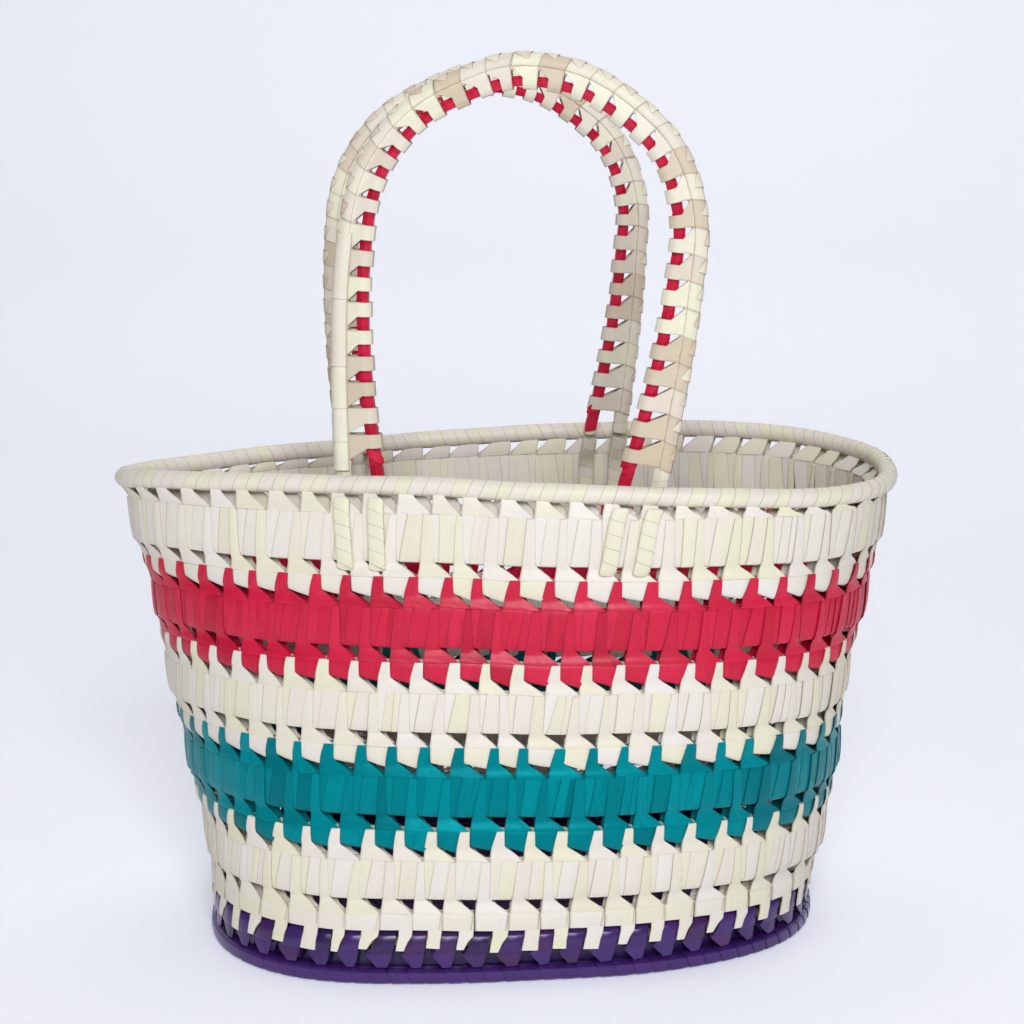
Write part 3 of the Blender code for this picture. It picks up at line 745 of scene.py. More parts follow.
def srgb(red, green, blue):
    """Linear colour from 8-bit sRGB values."""
    values = [value / 255 for value in (red, green, blue)]
    return (*[v / 12.92 if v <= 0.04045 else ((v + 0.055) / 1.055) ** 2.4 for v in values], 1)


def node(tree, kind, inputs=None, **settings):
    """Shader node with its settings; inputs maps socket names or numbers to values or sockets."""
    made = tree.nodes.new(kind)
    for name, value in settings.items():
        setattr(made, name, value)
    for name, value in (inputs or {}).items():
        if isinstance(value, bpy.types.NodeSocket):
            tree.links.new(value, made.inputs[name])
        else:
            made.inputs[name].default_value = value
    return made


def ramp(tree, factor, stops):
    """Colour ramp through (place, colour) stops."""
    made = node(tree, "ShaderNodeValToRGB", {0: factor})
    elements = made.color_ramp.elements
    while len(elements) < len(stops):
        elements.new(1)
    for element, (place, colour) in zip(elements, stops):
        element.position = place
        element.color = colour
    return made.outputs["Color"]


def mix(tree, factor, first, second, blend="MIX"):
    """Mixed colour."""
    inputs = {0: factor, 6: first, 7: second}
    made = node(tree, "ShaderNodeMix", inputs, data_type="RGBA", blend_type=blend)
    return made.outputs[2]


def maths(tree, operation, first, second=0.0, clamp=False):
    """Result of one maths operation."""
    inputs = {0: first, 1: second}
    return node(tree, "ShaderNodeMath", inputs, operation=operation, use_clamp=clamp).outputs[0]


def vector_maths(tree, operation, first, second):
    """Result of one vector maths operation."""
    return node(tree, "ShaderNodeVectorMath", {0: first, 1: second}, operation=operation).outputs[0]


def grain(tree, place, own, stretch, detail):
    """Noise stretched along a strip, and different on every strip."""
    at = vector_maths(tree, "ADD", vector_maths(tree, "MULTIPLY", place, stretch), own)
    inputs = {"Vector": at, "Scale": 1.0, "Detail": detail}
    return node(tree, "ShaderNodeTexNoise", inputs).outputs["Fac"]


def leaf_material(name, tones, stain, edge, roughness, stain_share=0.5, specular=0.3, coat=0.0,
                  gloss=(1.0, 1.0, 1.0, 1.0)):
    """Palm leaf strip: a tone of its own, fine lengthwise ribs, stains, and darker edges that are
    partly worn leaf and partly painted shade in the seams between strips.
    """
    material = bpy.data.materials.new(name)
    material.use_nodes = True
    tree = material.node_tree
    shader = tree.nodes["Principled BSDF"]
    place = node(tree, "ShaderNodeAttribute", attribute_name="leaf_place").outputs["Vector"]
    tint = node(tree, "ShaderNodeAttribute", attribute_name="leaf_tint").outputs["Vector"]
    parts = node(tree, "ShaderNodeSeparateXYZ", {0: tint}).outputs
    across = node(tree, "ShaderNodeSeparateXYZ", {0: place}).outputs
    own = vector_maths(tree, "MULTIPLY", tint, (37.0, 53.0, 71.0))
    lines = grain(tree, place, own, (2600.0, 45.0, 0.0), 3.0)
    broad = grain(tree, place, own, (420.0, 70.0, 0.0), 4.0)
    colour = ramp(tree, parts["X"], [(at, srgb(*tone)) for at, tone in tones])
    patches = ramp(tree, broad, ((0.45, (0, 0, 0, 1)), (0.75, (1, 1, 1, 1))))
    amount = maths(tree, "MULTIPLY", patches, maths(tree, "MULTIPLY", parts["Y"], stain_share))
    colour = mix(tree, amount, colour, srgb(*stain))
    fine = ramp(tree, lines, ((0.32, (0.84, 0.84, 0.84, 1)), (0.60, (1.03, 1.03, 1.03, 1))))
    colour = mix(tree, 0.16, colour, mix(tree, 1.0, colour, fine, "MULTIPLY"))
    # Strip edges darkened towards the edge colour: partly worn leaf, partly painted shade in the
    # seams between strips
    middle = maths(tree, "ABSOLUTE", maths(tree, "SUBTRACT", across["Z"], 0.5))
    border = maths(tree, "SUBTRACT", middle, 0.43)
    border = maths(tree, "MULTIPLY", border, 12.0, clamp=True)
    edge_wear_and_shade = maths(tree, "ADD", maths(tree, "MULTIPLY", parts["Z"], 0.4), 0.40)
    colour = mix(tree, maths(tree, "MULTIPLY", border, edge_wear_and_shade), colour, srgb(*edge))
    tree.links.new(colour, shader.inputs["Base Color"])
    rough = maths(tree, "ADD", maths(tree, "MULTIPLY", broad, 0.22), roughness - 0.11)
    tree.links.new(rough, shader.inputs["Roughness"])
    shader.inputs["Specular IOR Level"].default_value = specular
    shader.inputs["Specular Tint"].default_value = gloss
    shader.inputs["Coat Weight"].default_value = coat
    shader.inputs["Coat Roughness"].default_value = 0.32
    shader.inputs["Coat Tint"].default_value = gloss
    ribs = maths(tree, "ADD", lines, maths(tree, "MULTIPLY", broad, 0.8))
    add_bump(tree, shader, 0.22, ribs)
    return material


def add_bump(tree, shader, strength, height):
    """Fine relief of a leaf or of its ribs."""
    inputs = {"Strength": strength, "Distance": 0.0003, "Height": height}
    tree.links.new(node(tree, "ShaderNodeBump", inputs).outputs[0], shader.inputs["Normal"])


def fibre_material(name, dark, light):
    """Dry leaf ribs of the cores: lengthwise streaks."""
    material = bpy.data.materials.new(name)
    material.use_nodes = True
    tree = material.node_tree
    shader = tree.nodes["Principled BSDF"]
    where = node(tree, "ShaderNodeTexCoord").outputs["Object"]
    streaks = node(tree, "ShaderNodeTexNoise", {"Vector": where, "Scale": 900.0, "Detail": 3.0})
    colour = ramp(tree, streaks.outputs["Fac"], ((0.3, dark), (0.7, light)))
    tree.links.new(colour, shader.inputs["Base Color"])
    shader.inputs["Roughness"].default_value = 0.8
    add_bump(tree, shader, 0.5, streaks.outputs["Fac"])
    return material


def make_materials():
    """The basket's leaf and core materials."""
    return {
        # Each leaf's third colour darkens its strip edges: partly worn leaf, partly painted shade
        # in the seams between strips
        "natural_leaf": leaf_material(
            "natural_leaf",
            ((0.0, (240, 235, 229)), (0.35, (238, 230, 221)), (0.6, (238, 235, 210)),
             (0.8, (234, 225, 213)), (1.0, (212, 195, 171))),
            (228, 221, 180), (140, 114, 82), 0.44, stain_share=0.35),
        "red_leaf": leaf_material(
            "red_leaf",
            ((0.0, (209, 20, 60)), (0.4, (220, 30, 72)), (0.75, (192, 8, 48)),
             (1.0, (226, 36, 74))),
            (140, 4, 44), (84, 2, 16), 0.40, stain_share=0.6, coat=0.12),
        "teal_leaf": leaf_material(
            "teal_leaf",
            ((0.0, (0, 120, 130)), (0.4, (0, 140, 152)), (0.75, (0, 98, 108)),
             (1.0, (0, 152, 168))),
            (0, 96, 112), (0, 44, 48), 0.40, stain_share=0.6, specular=0.5,
            gloss=(0.05, 0.9, 1.0, 1.0)),
        "purple_leaf": leaf_material(
            "purple_leaf",
            ((0.0, (60, 29, 100)), (0.4, (70, 35, 110)), (0.75, (38, 17, 74)),
             (1.0, (80, 34, 100))),
            (48, 38, 120), (12, 5, 26), 0.24, specular=0.4, coat=0.35,
            gloss=(0.92, 0.88, 1.0, 1.0)),
        "leaf_core": fibre_material("leaf_core", srgb(84, 66, 38), srgb(134, 110, 70)),
    }


def make_wall(materials):
    """Wraps, knots and cores of all courses up to the top band."""
    start = 0.0
    starts = [0.0] * len(COURSES)
    for index in reversed(range(RIM)):
        starts[index] = start
        start += POST_SHIFT_SHARE
    for index in range(LOW_NATURAL, RIM):
        course = COURSES[index]
        leaves = Leaves(index, WALL_TONES)
        if index > LOW_NATURAL:
            add_faces(leaves, starts[index], course, BOTTOMS[index])
        else:
            add_low_tabs(leaves, starts[index])
        add_knots(leaves, starts[index], index)
        node_name = course.name + ("_wrap" if course.height > PURPLE_HEIGHT else "")
        add_piece(leaves, course.name + "_leaf", materials, "basket", course.slot, node_name)
    for index, course in enumerate(COURSES):
        make_core(materials, course, BOTTOMS[index])
    return starts


def make_core(materials, course, bottom):
    """Core splints that run round inside a course."""
    wide = course.height > PURPLE_HEIGHT
    count = 4 if wide else 1
    size = (course.height - 4 * LEAF) / count
    lines = []
    turn = np.linspace(0, 1, 145)[:-1]
    for number in range(count):
        level = bottom + 2 * LEAF + size * (number + 0.5)
        if course.name == "foot_coil":
            level = FOOT_ROPE_RADII[1] + 0.0004
        lines.append(wall(turn, np.full(turn.shape, level), 0.0)[0])
    depth = min(size, course.thickness - 4 * LEAF) / 2 - 0.0001
    if course.name == "foot_coil":
        depth = FOOT_ROPE_RADII[1] - 0.0012
    core = splints(course.name + "_splints", lines, depth, materials["leaf_core"], True)
    has_node = wide or course.name in ("foot_coil", "rim")
    place_piece(core, "basket", "leaf_core", *([course.name + "_core"] if has_node else []))


def add_low_tabs(leaves, start):
    """Wraps of the lowest natural coil; every cell has a tooth that hangs over the purple coil."""
    pick = leaves.random
    course, purple = COURSES[LOW_NATURAL], COURSES[PURPLE]
    bottom, purple_bottom = BOTTOMS[LOW_NATURAL], BOTTOMS[PURPLE]
    half = course.thickness / 2
    for cell in range(CELLS):
        at = start + cell + pick.uniform(-0.02, 0.02)
        wrap = wrap_rows(course, bottom, (0.0, 0.0), (0.60, 0.60), (CREASE_FALL, 0.0))
        wall_strip(leaves, at, wrap, tilt=-0.5 * SHINGLE)
        tab = [(bottom + up * course.height, out * half, 0.0, right, CREASE_FALL * up)
               for up, out, right in LOW_TAB_SHARES]
        wall_strip(leaves, at, tab, camber=0.0004, tilt=-0.6 * SHINGLE)
        left = TOOTH_LEFT + pick.uniform(-0.04, 0.04)
        tip_right = pick.choice((0.70, 0.74, 0.90, 0.94))
        tip = purple_bottom + pick.uniform(0.14, 0.40) * purple.height
        middle = (tip + purple_bottom + purple.height) / 2
        tooth = (
            (bottom + 0.60 * course.height, -1.05 * half, left, 1.0, 0),
            (bottom + 0.95 * course.height, -0.90 * half, left, 1.0, 0),
            (bottom + 1.02 * course.height, 0.10 * half, left, 1.0, CREASE_FALL),
            (bottom + 0.95 * course.height, 1.10 * half, left, 1.0, CREASE_FALL),
            (bottom + 0.60 * course.height, 1.22 * half, left, 1.0, 0),
            (bottom + 0.20 * course.height, 1.24 * half, left, 1.0, 0),
            (bottom - 0.10 * course.height, 1.28 * half, left, 0.99, 0),
            (purple_bottom + 0.90 * purple.height, 1.42 * half, left, 0.98, 0),
            (middle, 1.53 * half, left - 0.03, (0.96 + tip_right) / 2, 0),
            (tip, 1.54 * half, left - 0.06, tip_right, 0.0008),
        )
        wall_strip(leaves, at, tooth, cols=4, tilt=-0.4 * SHINGLE, jitter=0.0001)


def share_rows(shares, bottom, height, half):
    """Rows from shares of a height and of a half thickness."""
    return [(bottom + up * height, out * half, left, right, 0) for up, out, left, right in shares]


def make_foot(materials, starts):
    """Foot ring, and the purple coil with its tabs and knots."""
    foot, purple = COURSES[FOOT], COURSES[PURPLE]
    ring = Leaves(100, RING_TONES)
    path = ring_path(FOOT_ROPE_RADII[1] + 0.0004, FOOT_ROPE_OFFSET)
    pitch = path[0][-1] / FOOT_WINDINGS
    winding(ring, path, 0, FOOT_WINDINGS, pitch, FOOT_ROPE_RADII, lean=(0, -0.0016), lift=0.0004,
            power=3.4)
    add_piece(ring, "foot_coil_leaf", materials, "basket", "purple_leaf", "foot_coil_wrap")
    leaves = Leaves(101)
    pick = leaves.random
    bottom = BOTTOMS[PURPLE]
    half = purple.thickness / 2
    gap = bottom - foot.height
    for cell in range(CELLS):
        at = starts[LOW_NATURAL] + cell + pick.uniform(-0.02, 0.02)
        tab = share_rows(PURPLE_TAB_SHARES, bottom, purple.height, half)
        wall_strip(leaves, at, tab, cols=4, camber=0.0005, tilt=-1.2 * SHINGLE)
        knot = share_rows(PURPLE_KNOT_SHARES, foot.height, gap, half)
        wall_strip(leaves, at, knot, cols=4, camber=0.0003, tilt=-1.2 * SHINGLE)
        # A purple sheet behind the knots in the darkest tint: painted shade in the gap between them
        back = share_rows(PURPLE_BACK_SHARES, foot.height, gap, half)
        wall_strip(leaves, at, back, tint=PURPLE_BACK_SHADE_TINT)
    add_piece(leaves, "purple_coil_leaf", materials, "basket", "purple_leaf", "purple_coil")


def make_mat(materials):
    """Base mat: flat oval coils, one inside the next, wound with strips."""
    leaves = Leaves(110)
    turn = np.linspace(0, 1, 241)
    edge = wall(turn, np.full(turn.shape, FOOT_MIDDLE), -FOOT_THICKNESS / 2 - 0.0006)[0][:, :2]
    spine = np.stack([np.clip(edge[:, 0], -MAT_SPINE_HALF, MAT_SPINE_HALF), 0 * edge[:, 1]], -1)
    reach = edge - spine
    outward_flat = reach / np.linalg.norm(reach, axis=1, keepdims=True)
    out = np.concatenate([outward_flat, np.zeros((len(turn), 1))], -1)
    up = np.tile((0, 0, 1), (len(turn), 1))
    half = MAT_THICKNESS / 2
    width = np.linalg.norm(reach, axis=1).mean() / MAT_RINGS / 2
    for number in range(MAT_RINGS):
        share = 1 - (number + 0.5) / MAT_RINGS
        points = np.concatenate([spine + reach * share, np.full((len(turn), 1), half)], -1)
        path = path_of(points, out, up)
        count = max(8, round(path[0][-1] / MAT_STRIP_PITCH))
        winding(leaves, path, 0.003 * number, count, path[0][-1] / count,
                (width + 0.0003, half - 0.0006), lean=(0, 0.0016), sides=8, cols=2, lift=0.0003)
    add_piece(leaves, "base_mat_leaf", materials, "basket", "purple_leaf", "base_mat")


def make_rim(materials):
    """Rope rim, wound with slanting strips, with small pin holes at its two ends."""
    leaves = Leaves(120, RIM_TONES)
    path = ring_path(RIM_MIDDLE, 0.0)
    radii = (RIM_ROPE_RADIUS, RIM_ROPE_RADIUS)
    winding(leaves, path, 0, RIM_WINDINGS, path[0][-1] / RIM_WINDINGS, radii, lean=(0, 0.0020),
            sides=16, cols=4, lap=1.22, lift=0.00016, uneven=0.07)
    add_piece(leaves, "rim_leaf", materials, "basket", "natural_leaf", "rim_wrap")
    holes = Leaves(121)
    for share in PIN_HOLE_SHARES:
        centre = along_path(path, path[1], share * path[0][-1], True)
        out = along_path(path, path[2], share * path[0][-1], True)
        along = np.cross((0, 0, 1), out)
        normal = np.array((0, 0, 1)) * 0.94 + out * 0.34
        side = np.cross(normal, along)
        angle = np.linspace(0, 2 * np.pi, 8, endpoint=False)[:, None, None]
        size = np.array((0.15, 1.0))[None, :, None] * PIN_HOLE_RADIUS
        middle = centre + normal * (RIM_ROPE_RADIUS + 0.00035)
        grid = middle + (along * np.cos(angle) + side * np.sin(angle)) * size
        holes.add(grid[:, ::-1], closed=True, thickness=0.0003)
    add_piece(holes, "rim_pin_holes", materials, "basket", "leaf_core")


def arch(half_span):
    """Outer rod's line in the handle's plane: smooth through the arch's points."""
    corners = [Vector((across * half_span, up * ARCH_RISE)) for across, up in ARCH_SHARES]
    padded = [2 * corners[0] - corners[1]] + corners + [2 * corners[-1] - corners[-2]]
    line = []
    for p0, p1, p2, p3 in zip(padded, padded[1:], padded[2:], padded[3:]):
        for step in range(12):
            t = step / 12
            line.append((2 * p1 + (p2 - p0) * t + (2 * p0 - 5 * p1 + 4 * p2 - p3) * t ** 2
                         + (3 * p1 - p0 - 3 * p2 + p3) * t ** 3) / 2)
    line.append(corners[-1])
    line = np.array([tuple(point) for point in line])
    length = np.concatenate([[0], np.cumsum(np.linalg.norm(np.diff(line, axis=0), axis=1))])
    even = np.linspace(0, length[-1], ARCH_STEPS)
    return np.stack([np.interp(even, length, line[:, axis]) for axis in (0, 1)], -1), length[-1]


Handle = namedtuple("Handle", "run outer inner inward side")


def handle_paths(joint, sign, leg_x):
    """World lines of a handle's outer and inner rods, with the inward and sideways directions."""
    middle = np.array(joint["pos_m"])
    along = sign * np.array(joint["axis"])
    out = np.cross(along, (0, 0, 1))
    out /= np.linalg.norm(out)
    up = np.cross(out, along)
    half_span = (middle[0] - leg_x) / along[0]
    outer, length = arch(half_span)
    share = np.linspace(0, 1, len(outer))
    heading = np.gradient(outer, axis=0)
    heading /= np.linalg.norm(heading, axis=1, keepdims=True)
    inward = np.stack([heading[:, 1], -heading[:, 0]], -1)
    spacing = ROD_SPACING_TOP + (ROD_SPACING_FOOT - ROD_SPACING_TOP) * np.abs(2 * share - 1) ** 4
    inner = outer + inward * spacing[:, None]
    inner[[0, -1], 1] = 0

    def world(flat):
        return middle + flat[:, :1] * along + flat[:, 1:] * up

    turned = inward[:, :1] * along + inward[:, 1:] * up
    side = np.tile(out, (len(outer), 1))
    return Handle(share * length, world(outer), world(inner), turned, side)


def at_runs(handle, values, run):
    """Values of a handle's line at lengths run along the outer rod."""
    return np.stack([np.interp(run, handle.run, values[:, axis]) for axis in range(3)], -1)


def round_rod(handle, line, reach, angle, run):
    """Points on a rod at an angle from the inward side, six-sided like the rods."""
    turned = np.radians(angle)
    spoke = math.cos(math.pi / 6) / np.cos(np.mod(turned + math.pi / 6, math.pi / 3) - math.pi / 6)
    scale = reach * (1 - ROD_FACET_SHARE * (1 - spoke))
    inward = at_runs(handle, handle.inward, run)
    side = at_runs(handle, handle.side, run)
    radial = inward * np.cos(turned) + side * np.sin(turned)
    return at_runs(handle, line, run) + radial * np.broadcast_to(scale, run.shape)[..., None]


def inner_radius(share):
    """Wound radius of an inner rod at a share of its length: thinnest at the top."""
    return INNER_RADIUS_TOP + (INNER_RADIUS_FOOT - INNER_RADIUS_TOP) * np.abs(2 * share - 1)


def add_tie(leaves, handle, forward, pitch):
    """A strip round both rods: narrow on the inner rod, fanned out over the outer one."""
    pick = leaves.random
    wide = pitch * 1.04
    narrow = TIE_WIDTH * pick.uniform(0.92, 1.08)
    loose = TIE_LOOSENESS * pick.uniform(1, 2)
    outer_reach = OUTER_WOUND_RADIUS + TIE_LEAF
    inner_reach = inner_radius(forward / handle.run[-1]) + TIE_LEAF + loose
    share = np.linspace(0, 1, 4)
    rows = []
    creased = outer_reach - CREASE_DEPTH
    for angle in (180, 150, 120, 92, CREASE_ANGLE + 10):
        rows.append((handle.outer, outer_reach, angle, wide))
    rows.append((handle.outer, creased, CREASE_ANGLE - 4, wide))
    for angle in (115, 90, 60, 30, 0, -30, -60, -90, -115):
        rows.append((handle.inner, inner_reach, angle, narrow))
    rows.append((handle.outer, creased, 4 - CREASE_ANGLE, wide))
    for angle in (-CREASE_ANGLE - 10, -92, -120, -150):
        rows.append((handle.outer, outer_reach, angle, wide))
    grid = np.zeros((len(rows), len(share), 3))
    for number, (line, reach, angle, width) in enumerate(rows):
        skew = TIE_SKEW * max(0, abs(angle) - CREASE_ANGLE) / (180 - CREASE_ANGLE)
        on_outer = line is handle.outer
        run = forward - (1 - share) * width + (skew if on_outer else 0)
        raised = reach + (0.0002 * share if on_outer else 0.0001 * share)
        grid[number] = round_rod(handle, line, raised, angle, run)
    leaves.add(outward(grid, grid.mean(axis=(0, 1))), closed=True, thickness=TIE_LEAF)


def add_filler(leaves, handle, forward, pitch):
    """A strip end tucked over the outer side of the outer rod, half way between two ties."""
    pick = leaves.random
    reach = OUTER_WOUND_RADIUS + 2 * TIE_LEAF + 0.0001
    back = forward - pitch * pick.uniform(0.98, 1.02)
    width = pitch * FILLER_SHARE * pick.uniform(0.9, 1.1)
    share = np.linspace(0, 1, 3)
    first = FILLER_ANGLE + pick.uniform(-14, 14)
    angles = np.linspace(first, 360 - first, 11)
    grid = np.zeros((len(angles), 3, 3))
    for number, angle in enumerate(angles):
        away = min(angle, 360 - angle)
        skew = TIE_SKEW * (away - CREASE_ANGLE) / (180 - CREASE_ANGLE)
        point = min(1, (away - first) / 40 + 0.12)
        run = back + width * (1 - point * (1 - share)) + skew
        low = 0.0003 * (1 - point)
        grid[number] = round_rod(handle, handle.outer, reach - low + 0.0001 * share, angle, run)
    leaves.add(outward(grid, at_runs(handle, handle.outer, np.array([back]))[0]), thickness=LEAF)


def add_lengthwise(leaves, handle, first, last, angles):
    """A strip laid along the outer rod over its ties: a lip at its start, its end tucked in."""
    run = np.linspace(first, last, 30)
    spread = np.linspace(*angles, 7)
    low = LEG_STRIP_TUCK * np.clip(1 - (last - run) / LEG_STRIP_TUCK_RUN, 0, 1)
    low = low - LEG_STRIP_LIP * np.clip(1 - (run - first) / LEG_STRIP_LIP_RUN, 0, 1)
    reach = OUTER_WOUND_RADIUS + 2 * TIE_LEAF + LEG_STRIP_RISE - low
    grid = np.stack([round_rod(handle, handle.outer, reach, angle, run) for angle in spread], 1)
    middle = at_runs(handle, handle.outer, run)[:, None]
    leaves.add(outward(grid, middle), tint=[leaves.random.uniform(0.4, 0.9), 0.6, 0.8])


def make_rod(materials, handle, body, rod, seed):
    """A rod of a handle: windings over its core, with a round end at each foot."""
    line = handle.outer if rod == "outer" else handle.inner
    radius = OUTER_WOUND_RADIUS if rod == "outer" else INNER_RADIUS_FOOT
    path = path_of(line, handle.side, handle.inward)
    length = path[0][-1]
    style = {"lean": (0.0, 0.0010), "sides": 12, "closed": False, "lift": 0.0002, "hexed": 0.8}
    slot = "natural_leaf" if rod == "outer" else "red_leaf"
    leaves = Leaves(seed)
    ends = 0.0 if rod == "outer" else RED_END
    count = round((length - 2 * ends) / ROD_WINDING_PITCH)
    radii = (radius, radius)
    if rod == "inner":
        def radii(run):
            return inner_radius(run / length), inner_radius(run / length)
    winding(leaves, path, ends, count, (length - 2 * ends) / count, radii, **style)
    if rod == "inner":
        for end in (0, -1):
            add_red_flap(leaves, handle, end)
    add_piece(leaves, f"{body}_{rod}_leaf", materials, body, slot, f"{body}_{rod}_wrap")
    if rod == "inner":
        foot = Leaves(seed + 1)
        for first in (0.0, length - ends):
            winding(foot, path, first, 1, ends, (radius - 0.0002, radius - 0.0002), **style)
        add_piece(foot, f"{body}_{rod}_foot_leaf", materials, body, "natural_leaf")
    core_radius = (radius if rod == "outer" else INNER_RADIUS_TOP) - 0.0006
    core = splints(f"{body}_{rod}_rod", [line[::4]], core_radius, materials["leaf_core"], False)
    place_piece(core, body, "leaf_core", f"{body}_{rod}_core")


def add_red_flap(leaves, handle, end):
    """Folded end of the red strip: it crosses the inner rod's foot in front and falls inwards."""
    length = handle.run[-1]
    grid = []
    for step, half in FLAP_STEPS:
        up = FLAP_TOP - FLAP_FALL * step
        reach = np.array([INNER_RADIUS_FOOT + 0.0007 + 0.0008 * step])
        row = []
        for side in (-1, 0, 1):
            run = up + side * half
            run = np.array([run if end == 0 else length - run])
            row.append(round_rod(handle, handle.inner, reach, 150 - 128 * step, run)[0])
        grid.append(row)
    top = np.array([FLAP_TOP if end == 0 else length - FLAP_TOP])
    middle = at_runs(handle, handle.inner, top)[0]
    leaves.add(outward(np.array(grid), middle))


def make_handle(materials, body, joint, sign, leg_x, seed):
    """One handle: wound rods, their cores and the ties round both."""
    handle = handle_paths(joint, sign, leg_x)
    for number, rod in enumerate(("outer", "inner")):
        make_rod(materials, handle, body, rod, seed + 10 * number)
    ties = Leaves(seed + 30, HANDLE_TONES)
    length = handle.run[-1]
    pitch = (length - FIRST_TIE - LAST_TIE) / (TIES - 1)
    for number in range(TIES):
        forward = FIRST_TIE + pitch * number + ties.random.uniform(-0.0005, 0.0005)
        add_tie(ties, handle, forward, pitch)
        add_filler(ties, handle, forward, pitch)
    if body == "front_handle":
        for first, last in zip(LEG_STRIP_ENDS, LEG_STRIP_ENDS[1:]):
            add_lengthwise(ties, handle, first, last + LEG_STRIP_LAP, LEG_STRIP_ANGLES)
    add_piece(ties, body + "_ties", materials, body, "natural_leaf", body + "_lace")
    return handle


def rim_turn(point):
    """Place round the rim nearest to a point, and the point's offset from the rim's middle."""
    turn = np.linspace(0, 1, 4 * OUTLINE_STEPS, endpoint=False)
    middle = plan(turn, np.full(turn.shape, RIM_MIDDLE))
    nearest = np.argmin(np.linalg.norm(middle - point[:2], axis=1))
    return turn[nearest], -np.linalg.norm(middle[nearest] - point[:2])


def tail_line(offset):
    """Middle line of a tail in the wall's section: down inside the band, out below, up outside."""
    bend = TAIL_BEND_RADIUS
    side = 1.25 * BAND_THICKNESS / 2 + LEAF + TAIL_THICKNESS / 2
    corner = bend * (1 - math.cos(math.pi / 4))
    corners = np.array([
        (offset, RIM_MIDDLE - 0.0015),
        (offset, TAIL_TOP),
        (-side, TOP_BAND_TOP - BAND_THICKNESS),
        (-side, TAIL_BOTTOM + bend),
        (corner - side, TAIL_BOTTOM + corner),
        (bend - side, TAIL_BOTTOM),
        (side - bend, TAIL_BOTTOM),
        (side - corner, TAIL_BOTTOM + corner),
        (side, TAIL_BOTTOM + bend),
        (side, RIM_BOTTOM + 0.0004),
    ])
    length = np.concatenate([[0], np.cumsum(np.linalg.norm(np.diff(corners, axis=0), axis=1))])
    even = np.linspace(0, length[-1], 81)
    line = np.stack([np.interp(even, length, corners[:, axis]) for axis in (0, 1)], -1)
    for _ in range(4):
        line[1:-1] = (line[:-2] + 2 * line[1:-1] + line[2:]) / 4
    return line


def make_tail(materials, name, foot, radius, shift, slant_share, seed):
    """Flattened end of a rod, hooked round the top band from inside and wound with strip."""
    turn, offset = rim_turn(foot)
    line = tail_line(offset)
    perimeter = np.linalg.norm(np.diff(RIM_OUTLINE, axis=0), axis=1).sum()
    ahead = plan(np.array([turn, turn + 0.001]), np.full(2, RIM_MIDDLE))[:, 0]
    heading_right = math.copysign(1, ahead[1] - ahead[0])
    lean = heading_right * slant_share / perimeter
    inside = np.clip(np.linspace(0, 4, len(line)), 0, 1)
    aside = heading_right * shift / perimeter
    turns = turn - lean * np.clip(TAIL_TOP - line[:, 1], 0, None) + aside * inside
    points, normal = wall(turns, line[:, 1], line[:, 0])
    tangent = np.stack([-normal[:, 1], normal[:, 0], 0 * normal[:, 0]], -1)
    heading = np.gradient(points, axis=0)
    heading /= np.linalg.norm(heading, axis=1, keepdims=True)
    path = path_of(points, tangent, np.cross(tangent, heading))

    def radii(run):
        flat = np.clip(run / 0.012, 0, 1)
        wide = radius + (TAIL_WIDTH / 2 - 0.0003 - radius) * flat
        deep = radius + (TAIL_THICKNESS / 2 - 0.0002 - radius) * flat
        return wide, deep

    leaves = Leaves(seed, TAIL_TONES)
    count = round(path[0][-1] / TAIL_PITCH)
    winding(leaves, path, 0.0, count, path[0][-1] / count, radii, lean=(-0.0018, 0.0), sides=16,
            closed=False, lift=0.0001, power=3.4)
    add_piece(leaves, name + "_leaf", materials, "basket", "natural_leaf", name)


def make_handles(materials):
    """Both handles and the tails of their rods."""
    joints = {joint["name"]: joint for joint in frame["joints"]}
    for label, sign, shift, seed in (("front", -1, 0, 200), ("back", 1, BACK_LEG_SHIFT, 300)):
        body = label + "_handle"
        joint = joints[body + "_lean"]
        handle = make_handle(materials, body, joint, sign, LEFT_LEG_X + shift, seed)
        for rod, line, radius in (("outer", handle.outer, OUTER_WOUND_RADIUS),
                                  ("inner", handle.inner, INNER_RADIUS_FOOT)):
            for end, place in (("left", 0), ("right", -1)):
                name = f"{body}_{rod}_tail_{end}"
                shift, slant = FRONT_TAILS[f"{rod}_{end}"] if label == "front" else (0.0, 0.0)
                make_tail(materials, name, line[place], radius, shift, slant, seed + 40 + len(name))


def make_camera():
    """Camera at the photograph's place and angle."""
    data = bpy.data.cameras.new("camera")
    data.sensor_width = SENSOR_WIDTH
    data.lens = FOCAL_PIXELS * SENSOR_WIDTH / IMAGE_PIXELS
    camera = new_object("camera", data)
    az, el, roll = CAMERA_AZIMUTH, CAMERA_ELEVATION, CAMERA_ROLL
    back = Vector((math.sin(az) * math.cos(el), -math.cos(az) * math.cos(el), math.sin(el)))
    right = Vector((math.cos(az), math.sin(az), 0))
    up = back.cross(right)
    turned_right = right * math.cos(roll) + up * math.sin(roll)
    turned_up = up * math.cos(roll) - right * math.sin(roll)
    matrix = camera.matrix_world.copy()
    for row in range(3):
        matrix[row][0] = turned_right[row]
        matrix[row][1] = turned_up[row]
        matrix[row][2] = back[row]
        matrix[row][3] = CAMERA_PLACE[row]
    camera.matrix_world = matrix
    bpy.context.scene.camera = camera


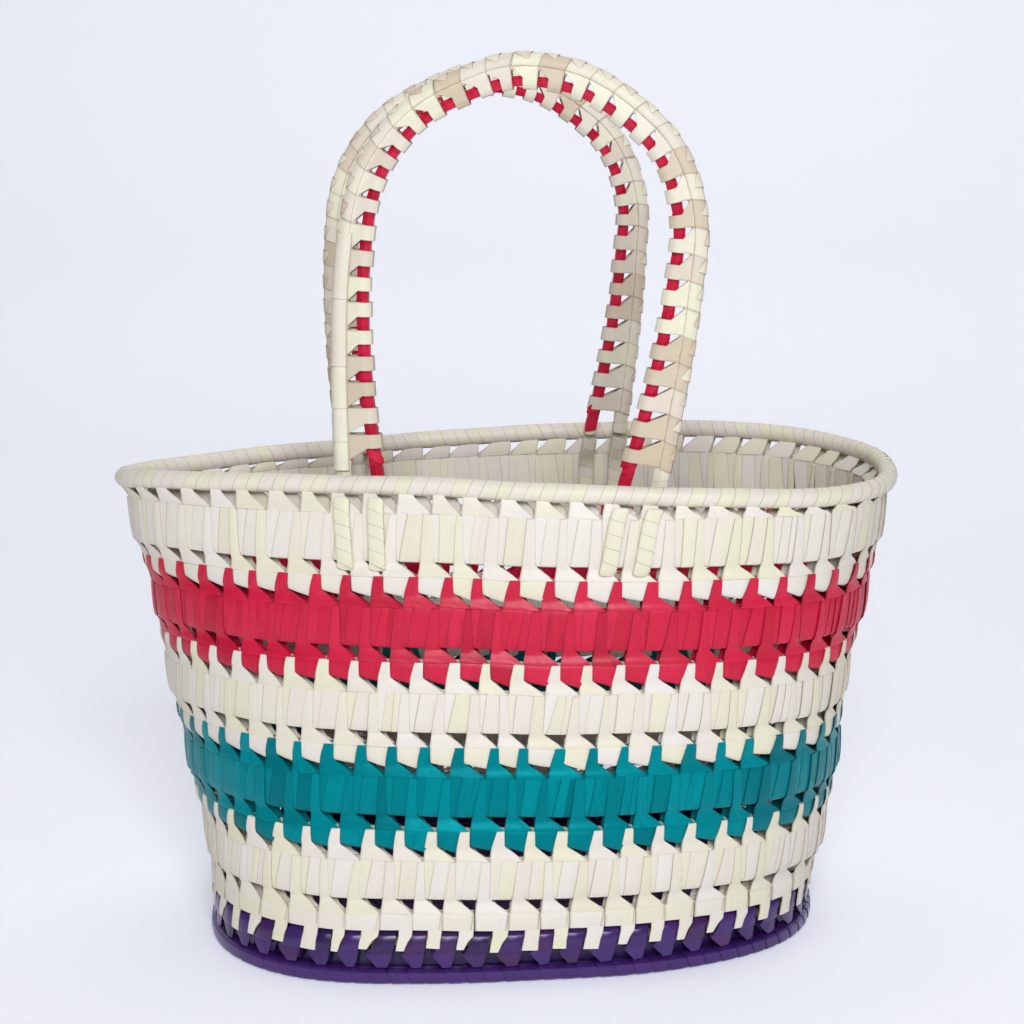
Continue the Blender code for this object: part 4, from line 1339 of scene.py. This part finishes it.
def area_light(name, place, aim, size, power, colour):
    """Soft rectangular lamp."""
    data = bpy.data.lights.new(name, "AREA")
    data.shape = "RECTANGLE"
    data.size, data.size_y = size
    data.energy = power
    data.color = colour
    lamp = new_object(name, data)
    lamp.location = place
    lamp.rotation_euler = (Vector(aim) - Vector(place)).to_track_quat("-Z", "Y").to_euler()


def make_stage():
    """Pale seamless floor and backdrop, soft lamps and a pale world."""
    mesh = bpy.data.meshes.new("backdrop")
    sides = -BACKDROP_HALF_WIDTH, BACKDROP_HALF_WIDTH
    points = [(x, y, z) for y, z in BACKDROP_PROFILE for x in sides]
    faces = [(2 * i, 2 * i + 1, 2 * i + 3, 2 * i + 2) for i in range(len(BACKDROP_PROFILE) - 1)]
    mesh.from_pydata(points, [], faces)
    mesh.shade_smooth()
    backdrop = new_object("backdrop", mesh)
    material = bpy.data.materials.new("backdrop")
    material.use_nodes = True
    tree = material.node_tree
    shader = tree.nodes["Principled BSDF"]
    shader.inputs["Base Color"].default_value = srgb(*BACKDROP_COLOUR)
    shader.inputs["Roughness"].default_value = 0.9
    rays = node(tree, "ShaderNodeLightPath").outputs
    seen = maths(tree, "ADD", rays["Is Camera Ray"], rays["Is Glossy Ray"])
    seen = maths(tree, "ADD", seen, rays["Is Transmission Ray"], clamp=True)
    shader.inputs["Emission Color"].default_value = srgb(*GLOW_COLOUR)
    tree.links.new(maths(tree, "MULTIPLY", seen, BACKDROP_GLOW), shader.inputs["Emission Strength"])
    mesh.materials.append(material)
    for name, settings in LAMPS.items():
        area_light(name, *settings)
    world = bpy.data.worlds.new("world")
    bpy.context.scene.world = world
    world.use_nodes = True
    background = world.node_tree.nodes["Background"].inputs
    background["Color"].default_value = srgb(*WORLD_COLOUR)
    background["Strength"].default_value = WORLD_STRENGTH


bpy.context.scene.view_settings.view_transform = "Standard"
make_camera()
make_stage()
leaf_materials = make_materials()
course_starts = make_wall(leaf_materials)
make_foot(leaf_materials, course_starts)
make_mat(leaf_materials)
make_rim(leaf_materials)
make_handles(leaf_materials)
